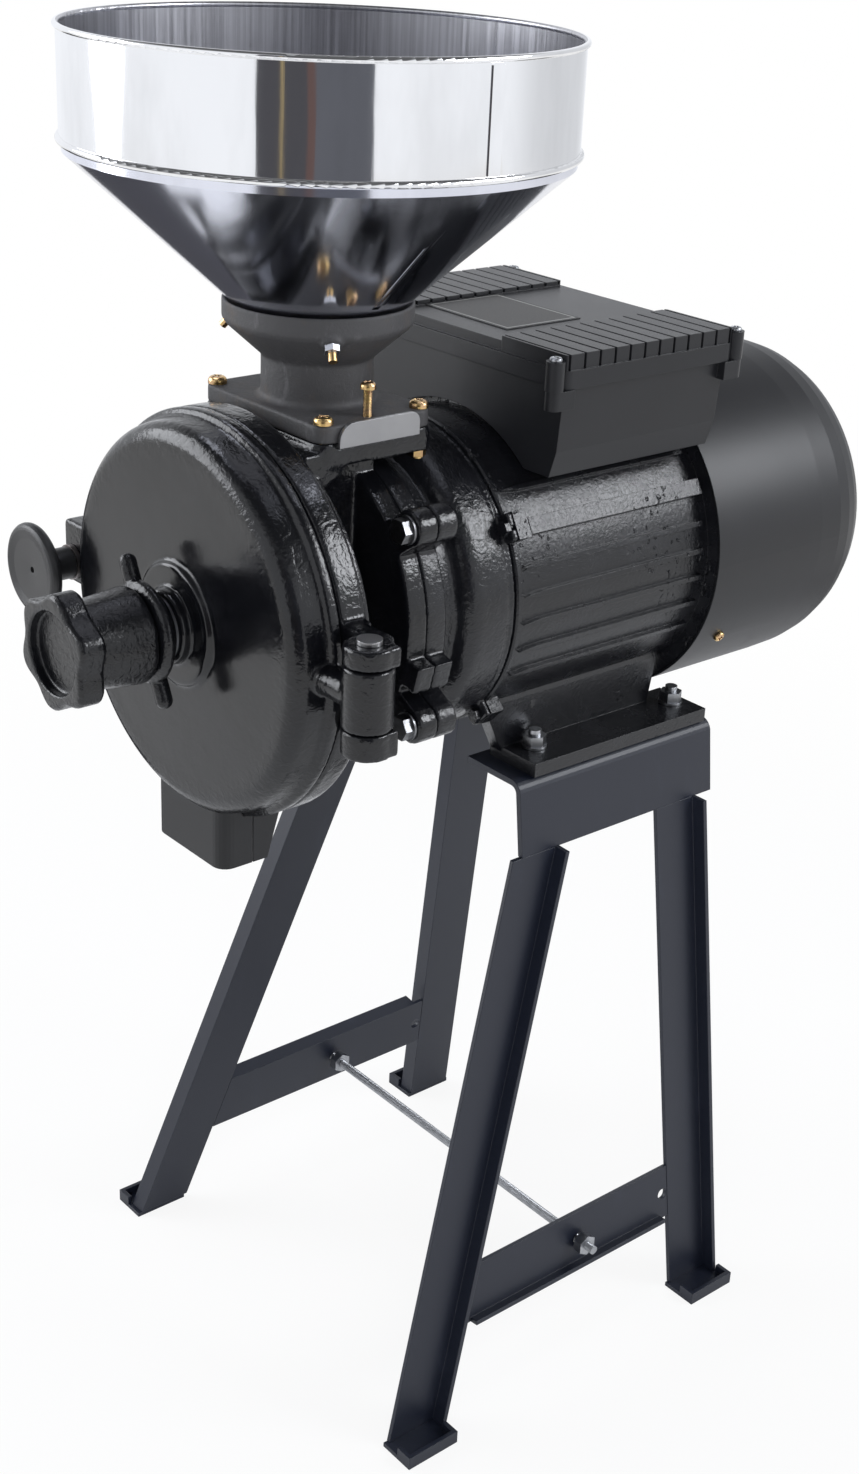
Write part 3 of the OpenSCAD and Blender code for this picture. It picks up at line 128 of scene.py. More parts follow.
class Maker:
    """Adds nodes to one tree."""

    def __init__(self, tree):
        self.tree = tree

    def add(self, kind, settings=None, sockets=None, out=0):
        """Adds a node, sets it, feeds its sockets, and returns one output."""
        node = self.tree.nodes.new(kind)
        for key, value in (settings or {}).items():
            setattr(node, key, value)
        for key, value in (sockets or {}).items():
            slot = node.inputs[key]
            if isinstance(value, Wire):
                self.tree.links.new(value.socket, slot)
            elif isinstance(value, (tuple, list)) and len(value) == 3 and slot.type == "RGBA":
                slot.default_value = (*value, 1.0)
            else:
                slot.default_value = value
        return Wire(self.tree, node.outputs[out])

    def rays(self):
        """Masks of the rays that see a surface or the room directly, and of mirrored rays."""
        camera, glossy, clear = (self.add("ShaderNodeLightPath", out=ray) for ray in RAYS)
        return (camera + clear).clamped(), glossy

    def between(self, value, low, high):
        """0 below low, 1 above high, smooth between them."""
        return self.add(
            "ShaderNodeMapRange", {"interpolation_type": "SMOOTHSTEP"},
            {"Value": value, "From Min": low, "From Max": high, "To Min": 0.0, "To Max": 1.0})

    def mix(self, first, second, factor):
        """Blend of two colours."""
        return self.add(
            "ShaderNodeMix", {"data_type": "RGBA"}, {0: factor, 6: first, 7: second}, out=2)


class Finish(Maker):
    """One material under construction, on the object's own coordinates in metres."""

    def __init__(self, name):
        self.material = bpy.data.materials.new(name)
        self.material.use_nodes = True
        super().__init__(self.material.node_tree)
        self.tree.nodes.clear()
        self.end = self.tree.nodes.new("ShaderNodeOutputMaterial")

    def place(self):
        """Position on the object, in metres."""
        return self.add("ShaderNodeTexCoord", out="Object")

    def axis(self, index):
        """One coordinate of the position."""
        return self.add("ShaderNodeSeparateXYZ", sockets={0: self.place()}, out=index)

    def across(self, along, spot):
        """Distance from a line that runs along one axis through a spot."""
        flat = [index for index in (X, Y, Z) if index != along]
        a, b = (self.axis(index) - at for index, at in zip(flat, spot))
        return (a * a + b * b).math("SQRT")

    def noise(self, scale, detail=3.0, rough=0.55, stretch=None, warp=0.0, seed=0.0):
        """Fractal noise from 0 to 1; scale is in features per metre."""
        where = self.place()
        if stretch:
            where = self.add("ShaderNodeVectorMath", {"operation": "MULTIPLY"},
                             {0: where, 1: stretch})
        if seed:
            where = self.add("ShaderNodeVectorMath", {"operation": "ADD"},
                             {0: where, 1: (seed, seed, seed)})
        return self.add(
            "ShaderNodeTexNoise", {"noise_dimensions": "3D"},
            {"Vector": where, "Scale": scale, "Detail": detail, "Roughness": rough,
             "Distortion": warp})

    def relief(self, height, depth, edge=0.0):
        """Normal from a height map; depth in metres, edge rounds the corners' shading."""
        sockets = {"Height": height, "Distance": depth, "Strength": 1.0}
        if edge:
            sockets["Normal"] = self.add("ShaderNodeBevel", {"samples": 6}, {"Radius": edge})
        return self.add("ShaderNodeBump", None, sockets)

    def close(self, shader):
        """Closes the material with a shader."""
        self.tree.links.new(shader.socket, self.end.inputs["Surface"])
        return self.material

    def surface(self, sockets):
        """Closes the material with its Principled shader."""
        return self.close(self.add("ShaderNodeBsdfPrincipled", None, sockets))


def shade(colour, gain, lift=0.0):
    """A colour made brighter or darker."""
    return tuple(channel * gain + lift for channel in colour)


# ---- finishes ----------------------------------------------------------------

STAINLESS = (0.93, 0.93, 0.935)
BLUED_STAINLESS = (0.84, 0.855, 0.94)
BRUSHED = ((0.46, 0.46, 0.48), (0.60, 0.60, 0.63))
BARE_ZINC = (0.60, 0.61, 0.63)
NUT_DEPTH = (0.0127, 0.0172)  # where a hopper screw's nut starts and ends along the screw
THREAD_RELIEF = 180  # bump height of a thread for each metre of its pitch
FETTLED_PEEL = 0.10  # share of the peel that is left on a fettled disc
FETTLED_FADE = 0.02  # width of the ring in which the peel comes back
PLATE_MARGIN, PLATE_LINE = 0.0022, 0.0010  # plain edge of the rating plate, and its pale line


def bright_sheet(name, waves, haze, depth=0.0012, lined=None, steel=STAINLESS):
    """Polished stainless sheet with long soft waves.

    lined gives where the centre of a brushed inside lies along the shaft, and its radius."""
    f = Finish(name)
    soft = f.noise(waves, detail=1.5, rough=0.4)
    lines = f.noise(900, detail=2.0, rough=0.6, stretch=(1.0, 1.0, 0.03))
    smudge = f.between(
        f.noise(24, detail=4.0, rough=0.6, stretch=(1.0, 1.0, 0.3), seed=3.0), 0.35, 0.75)
    colour = f.mix(steel, shade(steel, 0.88), smudge)
    height = soft + lines * 0.004
    rough = haze + smudge * 0.05
    if lined:
        centre, radius = lined
        inside = f.across(Z, (0.0, centre)) < radius
        brush = f.noise(420, detail=3.0, rough=0.6, stretch=(1.0, 1.0, 0.02), seed=9.0)
        streak = f.between(brush, 0.3, 0.7)
        colour = f.mix(colour, f.mix(*BRUSHED, streak), inside)
        rough = rough + inside * (0.22 + streak * 0.08)
        height = height + inside * brush * 0.05
    return f.surface({
        "Base Color": colour, "Metallic": 1.0, "Roughness": rough,
        "Normal": f.relief(height, depth),
    })


def plated(name, colour, tint, haze, threads=(), white_nuts=None):
    """Zinc plating whose brightness and hue drift; threads are cut round the given lines.

    threads lists axis, spots, radius and pitch. white_nuts gives the place and slope of
    screws through the cone whose nuts are plain zinc."""
    f = Finish(name)
    drift = f.noise(160, detail=2.0, rough=0.5)
    grain = f.noise(2500, detail=2.0, rough=0.6)
    height = grain * 0.04
    for along, spots, radius, pitch in threads:
        turns = (f.axis(along) * (2 * math.pi / pitch)).math("SINE")
        for spot in spots:
            height = height + (f.across(along, spot) < radius) * turns * (pitch * THREAD_RELIEF)
    tone = f.mix(colour, tint, f.between(drift, 0.35, 0.65))
    if white_nuts:
        out, up, across, down = white_nuts
        start, stop = NUT_DEPTH
        depth = (f.across(Z, (0.0, HOPPER_Y)) - out) * across - (f.axis(Z) - up) * down
        tone = f.mix(tone, BARE_ZINC, (depth > start) * (depth < stop))
    return f.surface({
        "Base Color": tone, "Metallic": 1.0, "Roughness": haze + drift * 0.12,
        "Normal": f.relief(height, depth=0.001, edge=0.0003),
    })


def enamel(name, colour, dry, lumps, peel, pits=0.0, coarse=190, edge=0.0, smooth_disc=None):
    """Black enamel on a sand casting: lumps of the mould, wrinkled peel, pits and thin spots.

    smooth_disc gives the radius round the shaft within which the casting was fettled smooth."""
    f = Finish(name)
    mould = f.noise(52, detail=3.0, rough=0.5)
    skin = f.noise(coarse, detail=3.0, rough=0.55, warp=0.9)
    fine = f.noise(coarse * 3, detail=2.0, rough=0.5, seed=4.0)
    height = (skin + fine * 0.25) * peel
    if smooth_disc:
        rough_cast = f.between(
            f.across(Y, (0.0, SHAFT_Z)), smooth_disc, smooth_disc + FETTLED_FADE)
        height = height * (FETTLED_PEEL + rough_cast * (1.0 - FETTLED_PEEL))
        speck = f.between(f.noise(330, detail=2.0, rough=0.5, seed=11.0), 0.70, 0.78)
        height = height + speck * 0.05
    height = height + mould * lumps
    if pits:
        hole = f.between(f.noise(210, detail=2.0, rough=0.4, seed=5.0), 0.62, 0.70)
        patch = f.between(f.noise(9, detail=2.0), 0.50, 0.58)
        height = height - hole * pits * patch
    dull = f.between(f.noise(30, detail=4.0, rough=0.65, seed=7.0), 0.45, 0.75)
    return f.surface({
        "Base Color": f.mix(colour, shade(colour, 1.5, 0.002), dull),
        "Roughness": dry + dull * 0.08, "Normal": f.relief(height, depth=0.001, edge=edge),
    })


def raw_iron(name, colour, rust):
    """Dull sand-cast iron with a grainy skin, brown stains and pale scuffs."""
    f = Finish(name)
    grain = f.noise(520, detail=4.0, rough=0.7)
    lump = f.noise(90, detail=3.0, rough=0.6)
    stain = f.between(f.noise(38, detail=5.0, rough=0.7, seed=2.0), 0.5, 0.75)
    scuff = f.between(
        f.noise(120, detail=5.0, rough=0.75, stretch=(1.0, 1.0, 0.35), seed=12.0), 0.56, 0.74)
    return f.surface({
        "Base Color": f.mix(f.mix(colour, rust, stain), shade(colour, 2.2), scuff * 0.6),
        "Metallic": 0.3, "Roughness": 0.52 + grain * 0.2,
        "Normal": f.relief(lump * 0.5 + grain * 0.35, depth=0.0009, edge=0.001),
    })


def powder(name, colour, dry, peel=0.10, edge=0.0008):
    """Satin powder coat: an even fine peel and faint handling marks."""
    f = Finish(name)
    skin = f.noise(900, detail=2.0, rough=0.55)
    broad = f.noise(14, detail=3.0, rough=0.55)
    rub = f.between(
        f.noise(45, detail=5.0, rough=0.7, stretch=(1.0, 1.0, 0.25), seed=4.0), 0.55, 0.8)
    return f.surface({
        "Base Color": f.mix(colour, shade(colour, 1.35, 0.003), rub),
        "Roughness": dry + broad * 0.08 + rub * 0.06,
        "Normal": f.relief(skin * peel, depth=0.0004, edge=edge),
    })


def moulded(name, colour, dry, grain=0.5, gloss=0.5):
    """Moulded plastic with a fine spark-eroded grain."""
    f = Finish(name)
    fine = f.noise(3200, detail=2.0, rough=0.6)
    cloud = f.noise(25, detail=3.0, rough=0.5, seed=1.0)
    return f.surface({
        "Base Color": f.mix(colour, shade(colour, 1.3, 0.002), cloud),
        "Roughness": dry + cloud * 0.06, "Specular IOR Level": gloss,
        "Normal": f.relief(fine * grain, depth=0.00006, edge=0.0006),
    })


def machined(name, colour, haze, stretch=(1.0, 0.02, 1.0)):
    """Turned or ground steel with fine tool lines."""
    f = Finish(name)
    lines = f.noise(1500, detail=2.0, rough=0.6, stretch=stretch)
    oil = f.noise(40, detail=3.0, rough=0.6, seed=6.0)
    return f.surface({
        "Base Color": f.mix(colour, shade(colour, 0.75), oil), "Metallic": 1.0,
        "Roughness": haze + oil * 0.1, "Normal": f.relief(lines, depth=0.00006, edge=0.0004),
    })


def stacked_sheet(name, colour, blued=(0.16, 0.17, 0.20)):
    """Edge of stacked core sheets, with fine lines across the shaft."""
    f = Finish(name)
    sheet = f.add("ShaderNodeTexWave", {"bands_direction": "Y"},
                  {"Vector": f.place(), "Scale": 320.0, "Distortion": 0.2, "Detail": 1.0})
    heat = f.noise(30, detail=3.0)
    return f.surface({
        "Base Color": f.mix(colour, blued, heat), "Metallic": 0.8,
        "Roughness": 0.42 + heat * 0.1, "Normal": f.relief(sheet, depth=0.00012, edge=0.0004),
    })


def wound_wire(name, dark=(0.42, 0.15, 0.05), bright=(0.62, 0.28, 0.10)):
    """Varnished winding wire laid round the ring."""
    f = Finish(name)
    turns = f.noise(1400, detail=2.0, rough=0.5, stretch=(1.0, 0.15, 1.0))
    tone = f.noise(60, detail=3.0)
    return f.surface({
        "Base Color": f.mix(dark, bright, tone), "Metallic": 0.7,
        "Roughness": 0.3 + tone * 0.1, "Normal": f.relief(turns, depth=0.0006, edge=0.0004),
    })


def ground_burr(name, skin=(0.22, 0.22, 0.23), polish=(0.40, 0.40, 0.41)):
    """Burr iron: dark and grainy with polished teeth."""
    f = Finish(name)
    grain = f.noise(520, detail=3.0, rough=0.65)
    worn = f.between(f.noise(70, detail=3.0, seed=8.0), 0.4, 0.65)
    return f.surface({
        "Base Color": f.mix(skin, polish, worn), "Metallic": 0.85,
        "Roughness": 0.5 - worn * 0.15, "Normal": f.relief(grain, depth=0.0003, edge=0.0004),
    })


def soft_rubber(name, black=(0.012, 0.012, 0.013), chalk=(0.03, 0.03, 0.03)):
    """Black rubber lip seal."""
    f = Finish(name)
    bloom = f.noise(80, detail=3.0)
    return f.surface({
        "Base Color": f.mix(black, chalk, bloom), "Roughness": 0.6 + bloom * 0.15,
        "Normal": f.relief(bloom, depth=0.0002, edge=0.0004),
    })


def plate_face(name, spot, half):
    """Blank rating plate: a printed dark field inside a pale border."""
    f = Finish(name)
    x, y = ((f.axis(index) - spot[index]).math("ABSOLUTE") for index in (X, Y))

    def within(margin):
        return (x < half[0] - margin) * (y < half[1] - margin)

    inside = within(PLATE_MARGIN)
    line = inside * (1.0 - within(PLATE_MARGIN + PLATE_LINE))
    speck = f.noise(900, detail=3.0, rough=0.7)
    print_tone = f.between(speck, 0.4, 0.65)
    field = f.mix((0.045, 0.045, 0.045), (0.085, 0.082, 0.078), print_tone)
    colour = f.mix(f.mix((0.05, 0.05, 0.05), field, inside), (0.42, 0.42, 0.40), line)
    return f.surface({
        "Base Color": colour, "Metallic": 0.6, "Roughness": 0.42 + speck * 0.1,
        "Normal": f.relief(speck, depth=0.00004, edge=0.0002),
    })


# ---- shapes ------------------------------------------------------------------

WELD = 0.000001  # how near two points of a node are joined
CAST_SMOOTHING = 0.5
CAST_FACES_KEPT = 0.4


def settle(obj, material, body, smooth=True):
    """Gives a piece its finish and shading, and names its body."""
    obj.data.materials.append(material)
    for face in obj.data.polygons:
        face.use_smooth = smooth
    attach(obj, body)


def linked(name, mesh):
    """New object in the scene."""
    obj = bpy.data.objects.new(name, mesh)
    bpy.context.scene.collection.objects.link(obj)
    return obj


def formed_mesh(name, fill):
    """New mesh that a function fills through bmesh."""
    mesh = bpy.data.meshes.new(name)
    bm = bmesh.new()
    fill(bm)
    bmesh.ops.recalc_face_normals(bm, faces=bm.faces)
    bm.to_mesh(mesh)
    bm.free()
    return mesh


def casting(node, body, material, grain, rounds):
    """Stands in for a cast node with the soft edges and corners of sand casting.

    grain is the mesh size in metres and rounds the passes of smoothing."""
    shell = bmesh.new()
    shell.from_mesh(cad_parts[node].data)
    bmesh.ops.remove_doubles(shell, verts=shell.verts, dist=WELD)
    mesh = bpy.data.meshes.new(node + "_cast")
    shell.to_mesh(mesh)
    shell.free()
    obj = linked(node + "_cast", mesh)
    for kind, settings in (
            ("REMESH", {"mode": "VOXEL", "voxel_size": grain}),
            ("SMOOTH", {"factor": CAST_SMOOTHING, "iterations": rounds}),
            ("DECIMATE", {"ratio": CAST_FACES_KEPT})):
        step = obj.modifiers.new(kind, kind)
        for key, value in settings.items():
            setattr(step, key, value)
    graph = bpy.context.evaluated_depsgraph_get()
    skin = bpy.data.meshes.new_from_object(obj.evaluated_get(graph))
    obj.modifiers.clear()
    obj.data = skin
    skin.materials.clear()
    settle(obj, material, body)
    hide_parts(node)


def dress(material, *nodes):
    """Gives CAD nodes their finish."""
    for node in nodes:
        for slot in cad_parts[node].material_slots:
            slot.material = material


# ---- settings ------------------------------------------------------------------


class GrainMillColours(bpy.types.PropertyGroup):
    """Colours of the main finishes."""

    enamel: bpy.props.FloatVectorProperty(
        name="Casting enamel", description="Colour of the enamel on the castings",
        default=(0.0038, 0.0040, 0.0052), subtype="COLOR", min=0.0, max=1.0)
    motor: bpy.props.FloatVectorProperty(
        name="Motor paint", description="Colour of the paint on the motor",
        default=(0.0066, 0.0069, 0.0086), subtype="COLOR", min=0.0, max=1.0)
    stand: bpy.props.FloatVectorProperty(
        name="Stand coat", description="Colour of the stand's powder coat",
        default=(0.0100, 0.0125, 0.0220), subtype="COLOR", min=0.0, max=1.0)
    plastic: bpy.props.FloatVectorProperty(
        name="Box plastic", description="Colour of the capacitor box",
        default=(0.0105, 0.0108, 0.0125), subtype="COLOR", min=0.0, max=1.0)


class GrainMillSizes(bpy.types.PropertyGroup):
    """Sizes of the small detail."""

    plate_width: bpy.props.FloatProperty(
        name="Plate width", description="Width of the blank rating plate across the shaft",
        default=0.076, subtype="DISTANCE", unit="LENGTH", min=0.04, max=0.09)
    plate_length: bpy.props.FloatProperty(
        name="Plate length", description="Length of the blank rating plate along the shaft",
        default=0.060, subtype="DISTANCE", unit="LENGTH", min=0.03, max=0.08)


# ---- operators -------------------------------------------------------------------


class GRAINMILL_OT_hopper(bpy.types.Operator):
    """Polished hopper, dull iron neck and sheet gate"""

    bl_idname = "grainmill.hopper"
    bl_label = "Hopper and neck"

    ROLLED_EDGE = 0.0025
    SEAM_BEARING = -4.3  # degrees round the hopper from +X
    SEAM_TOP = (0.1372, 0.7818)  # distance from the hopper's middle, and height
    SEAM_FOOT = (0.0560, 0.7091)
    SEAM_SECTION = ((-0.0026, -0.0003), (-0.0022, 0.0004), (0.0018, 0.0005), (0.0022, -0.0003))
    SEAM_STEPS = 24

    def execute(self, context):
        low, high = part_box("hopper_band")
        inside = (high[X] - low[X]) / 2 - self.ROLLED_EDGE
        band = bright_sheet("hopper_band_sheet", waves=9.0, haze=0.05, lined=(HOPPER_Y, inside))
        cone = bright_sheet(
            "hopper_cone_sheet", waves=12.0, haze=0.10, depth=0.0005, steel=BLUED_STAINLESS)
        iron = raw_iron("neck_iron", (0.066, 0.065, 0.067), rust=(0.088, 0.073, 0.062))
        gate = machined("gate_sheet", (0.38, 0.38, 0.39), haze=0.38, stretch=(0.05, 1.0, 1.0))
        dress(band, "hopper_band")
        dress(cone, "hopper_cone")
        dress(iron, "burr_holder")
        dress(gate, "feed_gate")
        seam = linked("cone_seam", formed_mesh("cone_seam", self.seam))
        settle(seam, cone, "frame")
        casting("feed_neck", "frame", iron, grain=0.0010, rounds=4)
        return {"FINISHED"}

    def seam(self, bm):
        """Lapped seam that runs down the outside of the cone."""
        bearing = math.radians(self.SEAM_BEARING)
        out = Vector((math.cos(bearing), math.sin(bearing), 0.0))
        side = Vector((-out.y, out.x, 0.0))
        (top_out, top_z), (foot_out, foot_z) = self.SEAM_TOP, self.SEAM_FOOT
        reach, rise = top_out - foot_out, top_z - foot_z
        run = Vector((out.x * reach, out.y * reach, rise)).normalized()
        proud = run.cross(side)
        if proud.z > 0:
            proud.negate()
        rows = []
        for step in range(self.SEAM_STEPS + 1):
            share = step / self.SEAM_STEPS
            spot = out * (foot_out + reach * share)
            spot += Vector((0.0, HOPPER_Y, foot_z + rise * share))
            rows.append([bm.verts.new(spot + side * across + proud * lift)
                         for across, lift in self.SEAM_SECTION])
        count = len(self.SEAM_SECTION)
        for one, two in zip(rows, rows[1:]):
            for k in range(count):
                n = (k + 1) % count
                bm.faces.new((one[k], one[n], two[n], two[k]))
        bm.faces.new(rows[0])
        bm.faces.new(rows[-1][::-1])


class GRAINMILL_OT_castings(bpy.types.Operator):
    """Enamelled mill body, cover, knob and lock nut, coated chute and iron burrs"""

    bl_idname = "grainmill.castings"
    bl_label = "Castings"

    def execute(self, context):
        colour = tuple(context.scene.grain_mill_colours.enamel)
        body = enamel("body_enamel", colour, dry=0.14, lumps=0.7, peel=0.48)
        cover = enamel("cover_enamel", colour, dry=0.16, lumps=0.22, peel=0.40, smooth_disc=0.088)
        knob = enamel("nut_enamel", colour, dry=0.20, lumps=0.5, peel=0.50, coarse=230)
        for node, rider, finish, grain, rounds in (
                ("mill_body", "frame", body, 0.0012, 5),
                ("front_cover", "cover", cover, 0.0012, 5),
                ("star_knob", "adjuster", knob, 0.0008, 6),
                ("wing_nut", "lock_nut", knob, 0.0008, 6)):
            casting(node, rider, finish, grain, rounds)
        dress(powder("chute_coat", colour, dry=0.42), "rear_chute", "front_chute")
        dress(ground_burr("burr_iron"), "fixed_burr", "rotating_burr")
        return {"FINISHED"}


class GRAINMILL_OT_motor(bpy.types.Operator):
    """Painted motor castings, pressed cowl and the parts inside"""

    bl_idname = "grainmill.motor"
    bl_label = "Motor"

    def execute(self, context):
        colour = tuple(context.scene.grain_mill_colours.motor)
        paint = enamel("motor_paint", colour, dry=0.24, lumps=0.12, peel=0.30, pits=0.8,
                       coarse=380, edge=0.0005)
        shield = enamel("shield_paint", colour, dry=0.18, lumps=0.5, peel=0.46, coarse=260)
        dress(paint, "motor_housing")
        dress(shield, "shield_screws")
        casting("front_shield", "frame", shield, grain=0.0012, rounds=5)
        dress(powder("cowl_coat", colour, dry=0.37, peel=0.06), "fan_cowl")
        dress(raw_iron("shield_metal", (0.25, 0.25, 0.26), rust=(0.20, 0.19, 0.18)),
              "rear_shield")
        dress(stacked_sheet("core_sheets", (0.30, 0.31, 0.33)), "stator_core", "rotor_core")
        dress(wound_wire("winding_wire"), "stator_coils")
        dress(machined("shaft_steel", (0.50, 0.50, 0.51), haze=0.24),
              "motor_shaft", "feed_auger", "hinge_pin", "adjusting_screw")
        dress(machined("bearing_steel", (0.66, 0.66, 0.68), haze=0.12),
              "bearing_inner_rings", "bearing_outer_rings", "bearing_balls", "thrust_ball",
              "drive_pin", "return_spring")
        dress(moulded("fan_plastic", (0.02, 0.02, 0.021), dry=0.5), "cooling_fan")
        dress(soft_rubber("seal_rubber"), "shaft_seal")
        return {"FINISHED"}


class GRAINMILL_OT_box(bpy.types.Operator):
    """Capacitor box with its blank plate"""

    bl_idname = "grainmill.box"
    bl_label = "Capacitor box"

    PLATE_SHIFT = (-0.008, -0.018)  # from the middle of the lid
    PLATE_DROP = 0.003  # from the lid's ribs down to its flat
    PLATE_THICKNESS = 0.0006
    PLATE_EDGE = 0.0002

    def execute(self, context):
        sizes = context.scene.grain_mill_sizes
        colour = tuple(context.scene.grain_mill_colours.plastic)
        dress(moulded("box_plastic", colour, dry=0.30, grain=1.0, gloss=0.34),
              "terminal_box", "box_lid", "cable_gland", "switch_body")
        dress(moulded("capacitor_shell", (0.32, 0.33, 0.34), dry=0.3), "capacitors")
        dress(moulded("terminal_plastic", (0.55, 0.50, 0.38), dry=0.35), "terminal_block")
        dress(moulded("rocker_plastic", (0.35, 0.012, 0.010), dry=0.22, grain=0.2),
              "switch_rocker")
        spot = tuple(at + shift for at, shift in zip(middle("box_lid", X, Y), self.PLATE_SHIFT))
        half = (sizes.plate_width / 2, sizes.plate_length / 2)
        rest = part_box("box_lid")[1][Z] - self.PLATE_DROP + self.PLATE_THICKNESS / 2

        def fill(bm):
            size = Matrix.Diagonal((2 * half[0], 2 * half[1], self.PLATE_THICKNESS, 1))
            bmesh.ops.create_cube(bm, size=1.0, matrix=Matrix.Translation((*spot, rest)) @ size)
            bmesh.ops.bevel(bm, geom=list(bm.edges), offset=self.PLATE_EDGE, segments=2,
                            affect="EDGES")

        plate = linked("rating_plate", formed_mesh("rating_plate", fill))
        settle(plate, plate_face("plate_print", spot, half), "frame", smooth=False)
        return {"FINISHED"}


class GRAINMILL_OT_stand(bpy.types.Operator):
    """Powder-coated stand"""

    bl_idname = "grainmill.stand"
    bl_label = "Stand"

    def execute(self, context):
        colour = tuple(context.scene.grain_mill_colours.stand)
        dress(powder("stand_coat", colour, dry=0.36, peel=0.08),
              "top_brackets", "front_legs", "rear_legs", "crossbars", "stand_feet")
        return {"FINISHED"}


class GRAINMILL_OT_hardware(bpy.types.Operator):
    """Plated screws, bolts and nuts with their threads, and the latch knob"""

    bl_idname = "grainmill.hardware"
    bl_label = "Hardware"

    # colour, tint and haze
    YELLOW_ZINC = ((0.72, 0.50, 0.20), (0.64, 0.42, 0.24), 0.18)
    WHITE_ZINC = ((0.50, 0.51, 0.53), (0.40, 0.41, 0.43), 0.24)
    # painted shade: a darker copy of the white zinc, standing in for the darker room the flange
    # bolts mirror
    PAINTED_SHADE_ZINC = ((0.27, 0.275, 0.285), (0.18, 0.18, 0.185), 0.26)
    RING_ZINC = ((0.30, 0.28, 0.28), (0.24, 0.21, 0.20), 0.35)
    # radius and pitch
    CLAMP_THREAD = (0.0027, 0.0008)
    FOOT_THREAD = (0.0042, 0.00125)
    ROD_THREAD = (0.0032, 0.0010)
    CONE_SCREW = (0.0435, 0.6990, 0.667, 0.745)  # its place from the middle, and its slope
    FOOT_BOLT_RIM = 0.0087  # from a foot bolt's middle to the edge of its washer

    def execute(self, context):
        dress(plated("yellow_zinc", *self.YELLOW_ZINC), "neck_screws", "cowl_screws")
        dress(plated("yellow_nutted", *self.YELLOW_ZINC, white_nuts=self.CONE_SCREW),
              "hopper_screws")
        clamp = (Z, (middle("gate_clamp_screw", X, Y),), *self.CLAMP_THREAD)
        dress(plated("yellow_thread", *self.YELLOW_ZINC, (clamp,)), "gate_clamp_screw")
        dress(plated("bright_zinc", *self.WHITE_ZINC), "lid_screws", "lock_washer",
              "latch_screw", "fixed_burr_screws", "rotating_burr_screws")
        # painted shade: the flange bolts take the darker copy of the zinc
        dress(plated("painted_shade_zinc", *self.PAINTED_SHADE_ZINC), "flange_bolts")
        low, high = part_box("foot_bolts")
        corners = [(x, y) for x in (low[X] + self.FOOT_BOLT_RIM, high[X] - self.FOOT_BOLT_RIM)
                   for y in (low[Y] + self.FOOT_BOLT_RIM, high[Y] - self.FOOT_BOLT_RIM)]
        feet = (Z, corners, *self.FOOT_THREAD)
        dress(plated("foot_thread", *self.WHITE_ZINC, (feet,)), "foot_bolts")
        rod = (X, (middle("tie_rod", Y, Z),), *self.ROD_THREAD)
        dress(plated("rod_thread", *self.WHITE_ZINC, (rod,)), "tie_rod")
        dress(plated("ring_zinc", *self.RING_ZINC), "latch_ring")
        dress(moulded("latch_plastic", (0.016, 0.016, 0.017), dry=0.34), "latch_knob")
        return {"FINISHED"}


# ---- stage ---------------------------------------------------------------------

WHITE = (1.0, 1.0, 1.0)
DAYLIGHT = (0.935, 0.957, 1.0)

FLOOR_PAINT = (0.84, 0.84, 0.84)
FLOOR_RADIUS = 5.0
SHADOW_REACH = (0.55, 1.5)  # the floor turns from shaded to white between these distances
SEEN_NEAR, SEEN_GAIN = 0.88, 0.12  # share of white near the mill, and what is added far off
MIRRORED_NEAR, MIRRORED_GAIN = 0.15, 0.65

# painted reflections: sheets that glow in their own colour and are seen only by mirrored rays
CLOTHS = {
    "painted_dark_reflection": (0.075, 0.075, 0.085),
    # painted reflection: the gold streak on the hopper band
    "painted_gold_reflection": (0.34, 0.27, 0.15),
    # painted reflection: a rust-brown part of the hopper's dark band
    "painted_rust_reflection": (0.13, 0.085, 0.080),
    "painted_grey_reflection": (0.36, 0.36, 0.37),
    "painted_slate_reflection": (0.115, 0.12, 0.14),
}
STANDING_FLAGS = (  # cloth, and the bearings in degrees between which it stands
    ("front_flag_a", "painted_dark_reflection", 25, 34.5),
    ("front_flag_b", "painted_gold_reflection", 34.5, 35.8),
    ("front_flag_c", "painted_dark_reflection", 35.8, 45),
    ("front_flag_d", "painted_rust_reflection", 45, 48),
    ("front_flag_e", "painted_slate_reflection", 48, 71),
)
# painted reflections of floor shade, lying where polished surfaces mirror the floor
LYING_FLAGS = (  # cloth, and two opposite corners in metres
    ("floor_flag", "painted_dark_reflection", (-2.9, -0.42), (-0.62, 0.60)),
    ("left_flag", "painted_dark_reflection", (-3.2, -1.55), (-3.0, -1.45)),
    ("rear_flag", "painted_grey_reflection", (-0.35, 0.8), (0.34, 1.5)),
)
FLAG_DISTANCE, FLAG_HEIGHT, FLAG_LIFT = 2.6, 2.3, 0.003
FLAG_FACET = 3  # degrees

LAMPS = (  # bearing in degrees, distance, height, width and height of its face, watts
    ("left_box", 312, 2.0, 1.15, (1.3, 1.5), 26.0),
    ("right_box", 134, 2.1, 1.75, (1.0, 1.0), 30.0),
    ("top_box", 250, 0.5, 2.9, (1.8, 1.8), 26.0),
    ("fill_box", 48, 2.9, 1.3, (1.6, 1.2), 34.0),
)
UNMIRRORED_LAMPS = ("top_box", "fill_box")
LAMP_TARGET = Vector((0, 0, 0.55))
ROOM_LEVEL = 0.34  # strength of the room on dull surfaces
OVERHEAD, OVERHEAD_LOSS = (0.42, 0.80), 0.88  # where the mirrored room dims, and by how much
BEHIND, BEHIND_LOSS = (0.70, 0.98), 0.28

